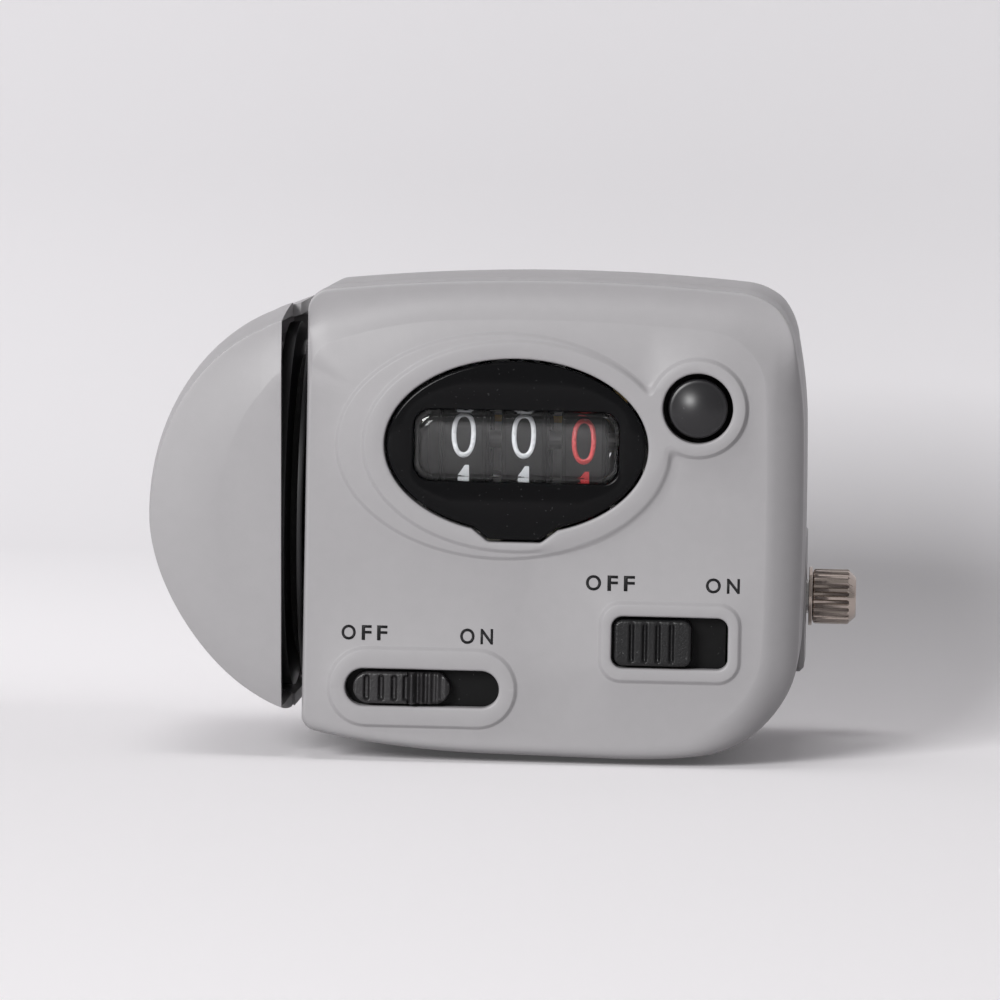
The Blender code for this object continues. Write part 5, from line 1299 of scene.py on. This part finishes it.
# Pieces that are carved or reshaped
front = add_piece("front_shell", *front_shell(), "housing", "body_plastic", ("front_cover",), crease=38)
paint(carve(reshape(front, raise_low_front, draw_in_corner), *rough_block(*pad_opening)), "body")
rear = add_piece("rear_shell", *rear_shell(), "housing", "body_plastic", ("rear_housing",), crease=38)
paint(reshape(rear, draw_in_corner), "body")
pod = add_piece("pod_shell", *pod_cover_solid(), "housing", "body_plastic", ("pod_cover",))
paint(reshape(carve(pod, *pod_hollow()), flatten_pod, lean_slot_side), "body")


# Pieces that keep their first shape: name, shape, body, slot, replaced nodes, crease angle, finish
def add_all(rows):
    """Every piece of a list, with its finish."""
    for name, shape, body, slot, replaced, crease, look in rows:
        paint(add_piece(name, *shape, body, slot, replaced, crease), look)


add_all([
    ("mask_gloss_plate", window_mask(), "housing", "black_gloss", ("window_mask",), 35, "mask"),
    ("lens_block", window_pane(), "housing", "clear_lens", ("window_lens",), 60, "lens"),
])
for body, middle in drum_middles.items():
    turned = add_piece(f"{body}_drum_turned", *drum(middle), body, "drum_black", (f"{body}_drum",))
    paint(turned, "drum")
    figures = drum_figures(f"{body}_figures", middle, body, drum_turns[body])
    paint(figures, "red_figure" if body == "tenths" else "white_figure")
lock_knob = slider_knob((lock_knob_left + lock_knob_middle, lock_centre[1]), lock_knob_size, lock_knob_corner,
                        face_y - lock_knob_proud, lock_knob_depth, lock_profile)
light_knob = slider_knob((light_knob_left + light_knob_middle, light_centre[1]), light_knob_size,
                         light_knob_corner, face_y - light_knob_proud, light_knob_depth, light_profile)
add_all([
    ("button_dome", reset_button(), "reset", "black_plastic", ("reset_button",), 50, "button"),
    ("line_lock_knob", lock_knob, "line_lock", "black_plastic", ("line_lock_slider",), 50, "slider"),
    # The tracks take the darker track finish: painted shade on the slot floors
    ("line_lock_track", rough_block(*lock_track_corners), "line_lock", "black_plastic", (), 35, "track"),
    ("light_knob", light_knob, "light", "black_plastic", ("light_slider",), 50, "dark_slider"),
    ("light_track", rough_block(*light_track_corners), "light", "black_plastic", (), 35, "track"),
    ("grooved_wheel", measuring_wheel(), "wheel", "black_plastic", ("measuring_wheel",), 40, "wheel"),
    ("fluted_knob", thumb_knob(), "screw", "nickel", ("thumb_knob",), 40, "nickel"),
    ("knob_washer", washer(), "screw", "nickel", ("screw_washer",), 40, "nickel"),
])
for name, (letters, pixel, extent) in switch_marks.items():
    paint(printed(name, letters, face_place(pixel), np.array(extent) * face_scale), "ink")

# Copies with rounded edges: body, slot, finish and what reshapes them
copies = {
    "pod_frame": ("housing", "body_plastic", "body", (flatten_pod, taper_pod_back)),
    "clamp_bracket": ("housing", "body_plastic", "body", ()),
    "clamp_jaw": ("jaw", "body_plastic", "body", ()),
    "battery_door": ("door", "body_plastic", "body", ()),
    "bracket_pad": ("housing", "rubber", "rubber", ()),
    "jaw_pad": ("jaw", "rubber", "rubber", ()),
}
for node, (body, slot, look, changes) in copies.items():
    paint(reshape(finer_copy(node, body), *changes), look)

# Finishes for the solids that stay
slot_finishes = {"body_plastic": "body", "black_gloss": "mask", "clear_lens": "lens",
                 "black_plastic": "slider", "drum_black": "drum", "nylon": "nylon", "steel": "steel",
                 "nickel": "nickel", "brass": "brass", "rubber": "rubber", "circuit_board": "board",
                 "lamp_clear": "lamp"}
# The counter frame takes the near-black steel, not its slot's bright steel
node_finishes = {"counter_frame": "frame"}
for node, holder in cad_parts.items():
    for place in holder.material_slots:
        slot_name = place.material.name.split(".")[0] if place.material else "steel"
        place.material = finishes[node_finishes.get(node, slot_finishes.get(slot_name, "steel"))]


# Floor, backdrop and lamps
def seen_share(tree):
    """1 for rays from the camera, off gloss and through clear plastic, which all see one backdrop."""
    path = tree.nodes.new("ShaderNodeLightPath").outputs
    return math_node(tree, "MAXIMUM", path["Is Camera Ray"],
                     math_node(tree, "MAXIMUM", path["Is Glossy Ray"], path["Is Transmission Ray"]))


def floor_finish():
    """A pale paper whose tone drifts slowly, lit by its own colour for the camera."""
    material = bpy.data.materials.new("paper")
    material.use_nodes = True
    tree = material.node_tree
    shader = tree.nodes["Principled BSDF"]
    vector = tree.nodes.new("ShaderNodeTexCoord").outputs["Object"]
    cloud = noise(tree, vector, 3.0, 2.0, 0.5)
    parts = tree.nodes.new("ShaderNodeSeparateXYZ")
    tree.links.new(vector, parts.inputs["Vector"])
    climb = math_node(tree, "DIVIDE", parts.outputs["Z"], sweep_blend * MM)
    climb = math_node(tree, "MINIMUM", climb, 1.0)
    drift = colour_mix(tree, cloud, floor_near, floor_far)
    shown = colour_mix(tree, climb, drift, wall_seen)
    bounced = colour_mix(tree, climb, floor_bounce, wall_bounce)
    seen = seen_share(tree)
    tree.links.new(colour_mix(tree, seen, bounced, shown), shader.inputs["Base Color"])
    tree.links.new(math_node(tree, "MULTIPLY", seen, paper_glow), shader.inputs["Emission Strength"])
    behind = tree.nodes.new("ShaderNodeNewGeometry").outputs["Backfacing"]
    tree.links.new(math_node(tree, "SUBTRACT", 1.0, behind), shader.inputs["Alpha"])
    set_inputs(shader, Emission_Color=paper_glow_colour, Roughness=0.9, Specular_IOR_Level=0.1)
    return material


def floor_sweep():
    """A floor that turns up into a wall: a profile of run and rise carried along X."""
    angle = np.linspace(0, math.pi / 2, 24)
    wall_run = sweep_start + sweep_radius
    run = np.concatenate([[-floor_reach], sweep_start + sweep_radius * np.sin(angle), [wall_run]])
    height = np.concatenate([[0], sweep_radius - sweep_radius * np.cos(angle), [wall_height]])
    x = np.linspace(-floor_half_width, floor_half_width, 12)
    grid = np.stack(np.broadcast_arrays(x[:, None], run, height), axis=-1)
    mesh = bpy.data.meshes.new("floor")
    mesh.from_pydata((grid.reshape(-1, 3) * MM).tolist(), [], grid_faces(*grid.shape[:2], wrap=False))
    mesh.shade_smooth()
    if mesh.polygons[0].normal.z < 0:
        mesh.flip_normals()
    floor = link_object("floor", mesh)
    mesh.materials.append(floor_finish())


def lamp(name, place, size, watts):
    """A soft rectangular lamp aimed at the counter; place and size in millimetres."""
    data = bpy.data.lights.new(name, "AREA")
    data.shape = "RECTANGLE"
    data.size = size * MM
    data.size_y = size * MM
    data.energy = watts
    holder = link_object(name, data)
    holder.location = Vector(place) * MM
    holder.rotation_euler = (Vector(lamp_target) - Vector(place)).to_track_quat("-Z", "Y").to_euler()
    return holder


def studio_world():
    """An even pale glow that lights weakly and is seen brighter by the rays of seen_share."""
    world = bpy.data.worlds.new("studio")
    world.use_nodes = True
    tree = world.node_tree
    sky = tree.nodes["Background"]
    set_inputs(sky, Color=world_colour)
    extra = math_node(tree, "MULTIPLY", seen_share(tree), world_seen - world_light)
    tree.links.new(math_node(tree, "ADD", extra, world_light), sky.inputs["Strength"])
    return world


scene = bpy.context.scene
floor_sweep()
scene.world = studio_world()
lamp("key", (-660, -1390, 620), 560, 22.2)
lamp("top", (-150, -150, 1100), 500, 2.6).visible_glossy = False

# Camera: a little right of the face and above it, turned a little about its own line of sight
aim = Vector((aim_x, face_y, aim_z))
azimuth, elevation = math.radians(camera_azimuth), math.radians(camera_elevation)
level_out = Vector((math.sin(azimuth), -math.cos(azimuth), 0))
out = level_out * math.cos(elevation) + Vector((0, 0, math.sin(elevation)))
camera_data = bpy.data.cameras.new("camera")
camera_data.lens = camera_data.sensor_width * camera_distance / (image_size * face_scale)
camera_data.clip_end = 20
camera = link_object("camera", camera_data)
camera.location = (aim + out * camera_distance) * MM
facing = (-out).to_track_quat("-Z", "Y")
camera.rotation_euler = (facing @ Quaternion((0, 0, 1), math.radians(camera_roll))).to_euler()
scene.camera = camera
scene.view_settings.view_transform = "Standard"
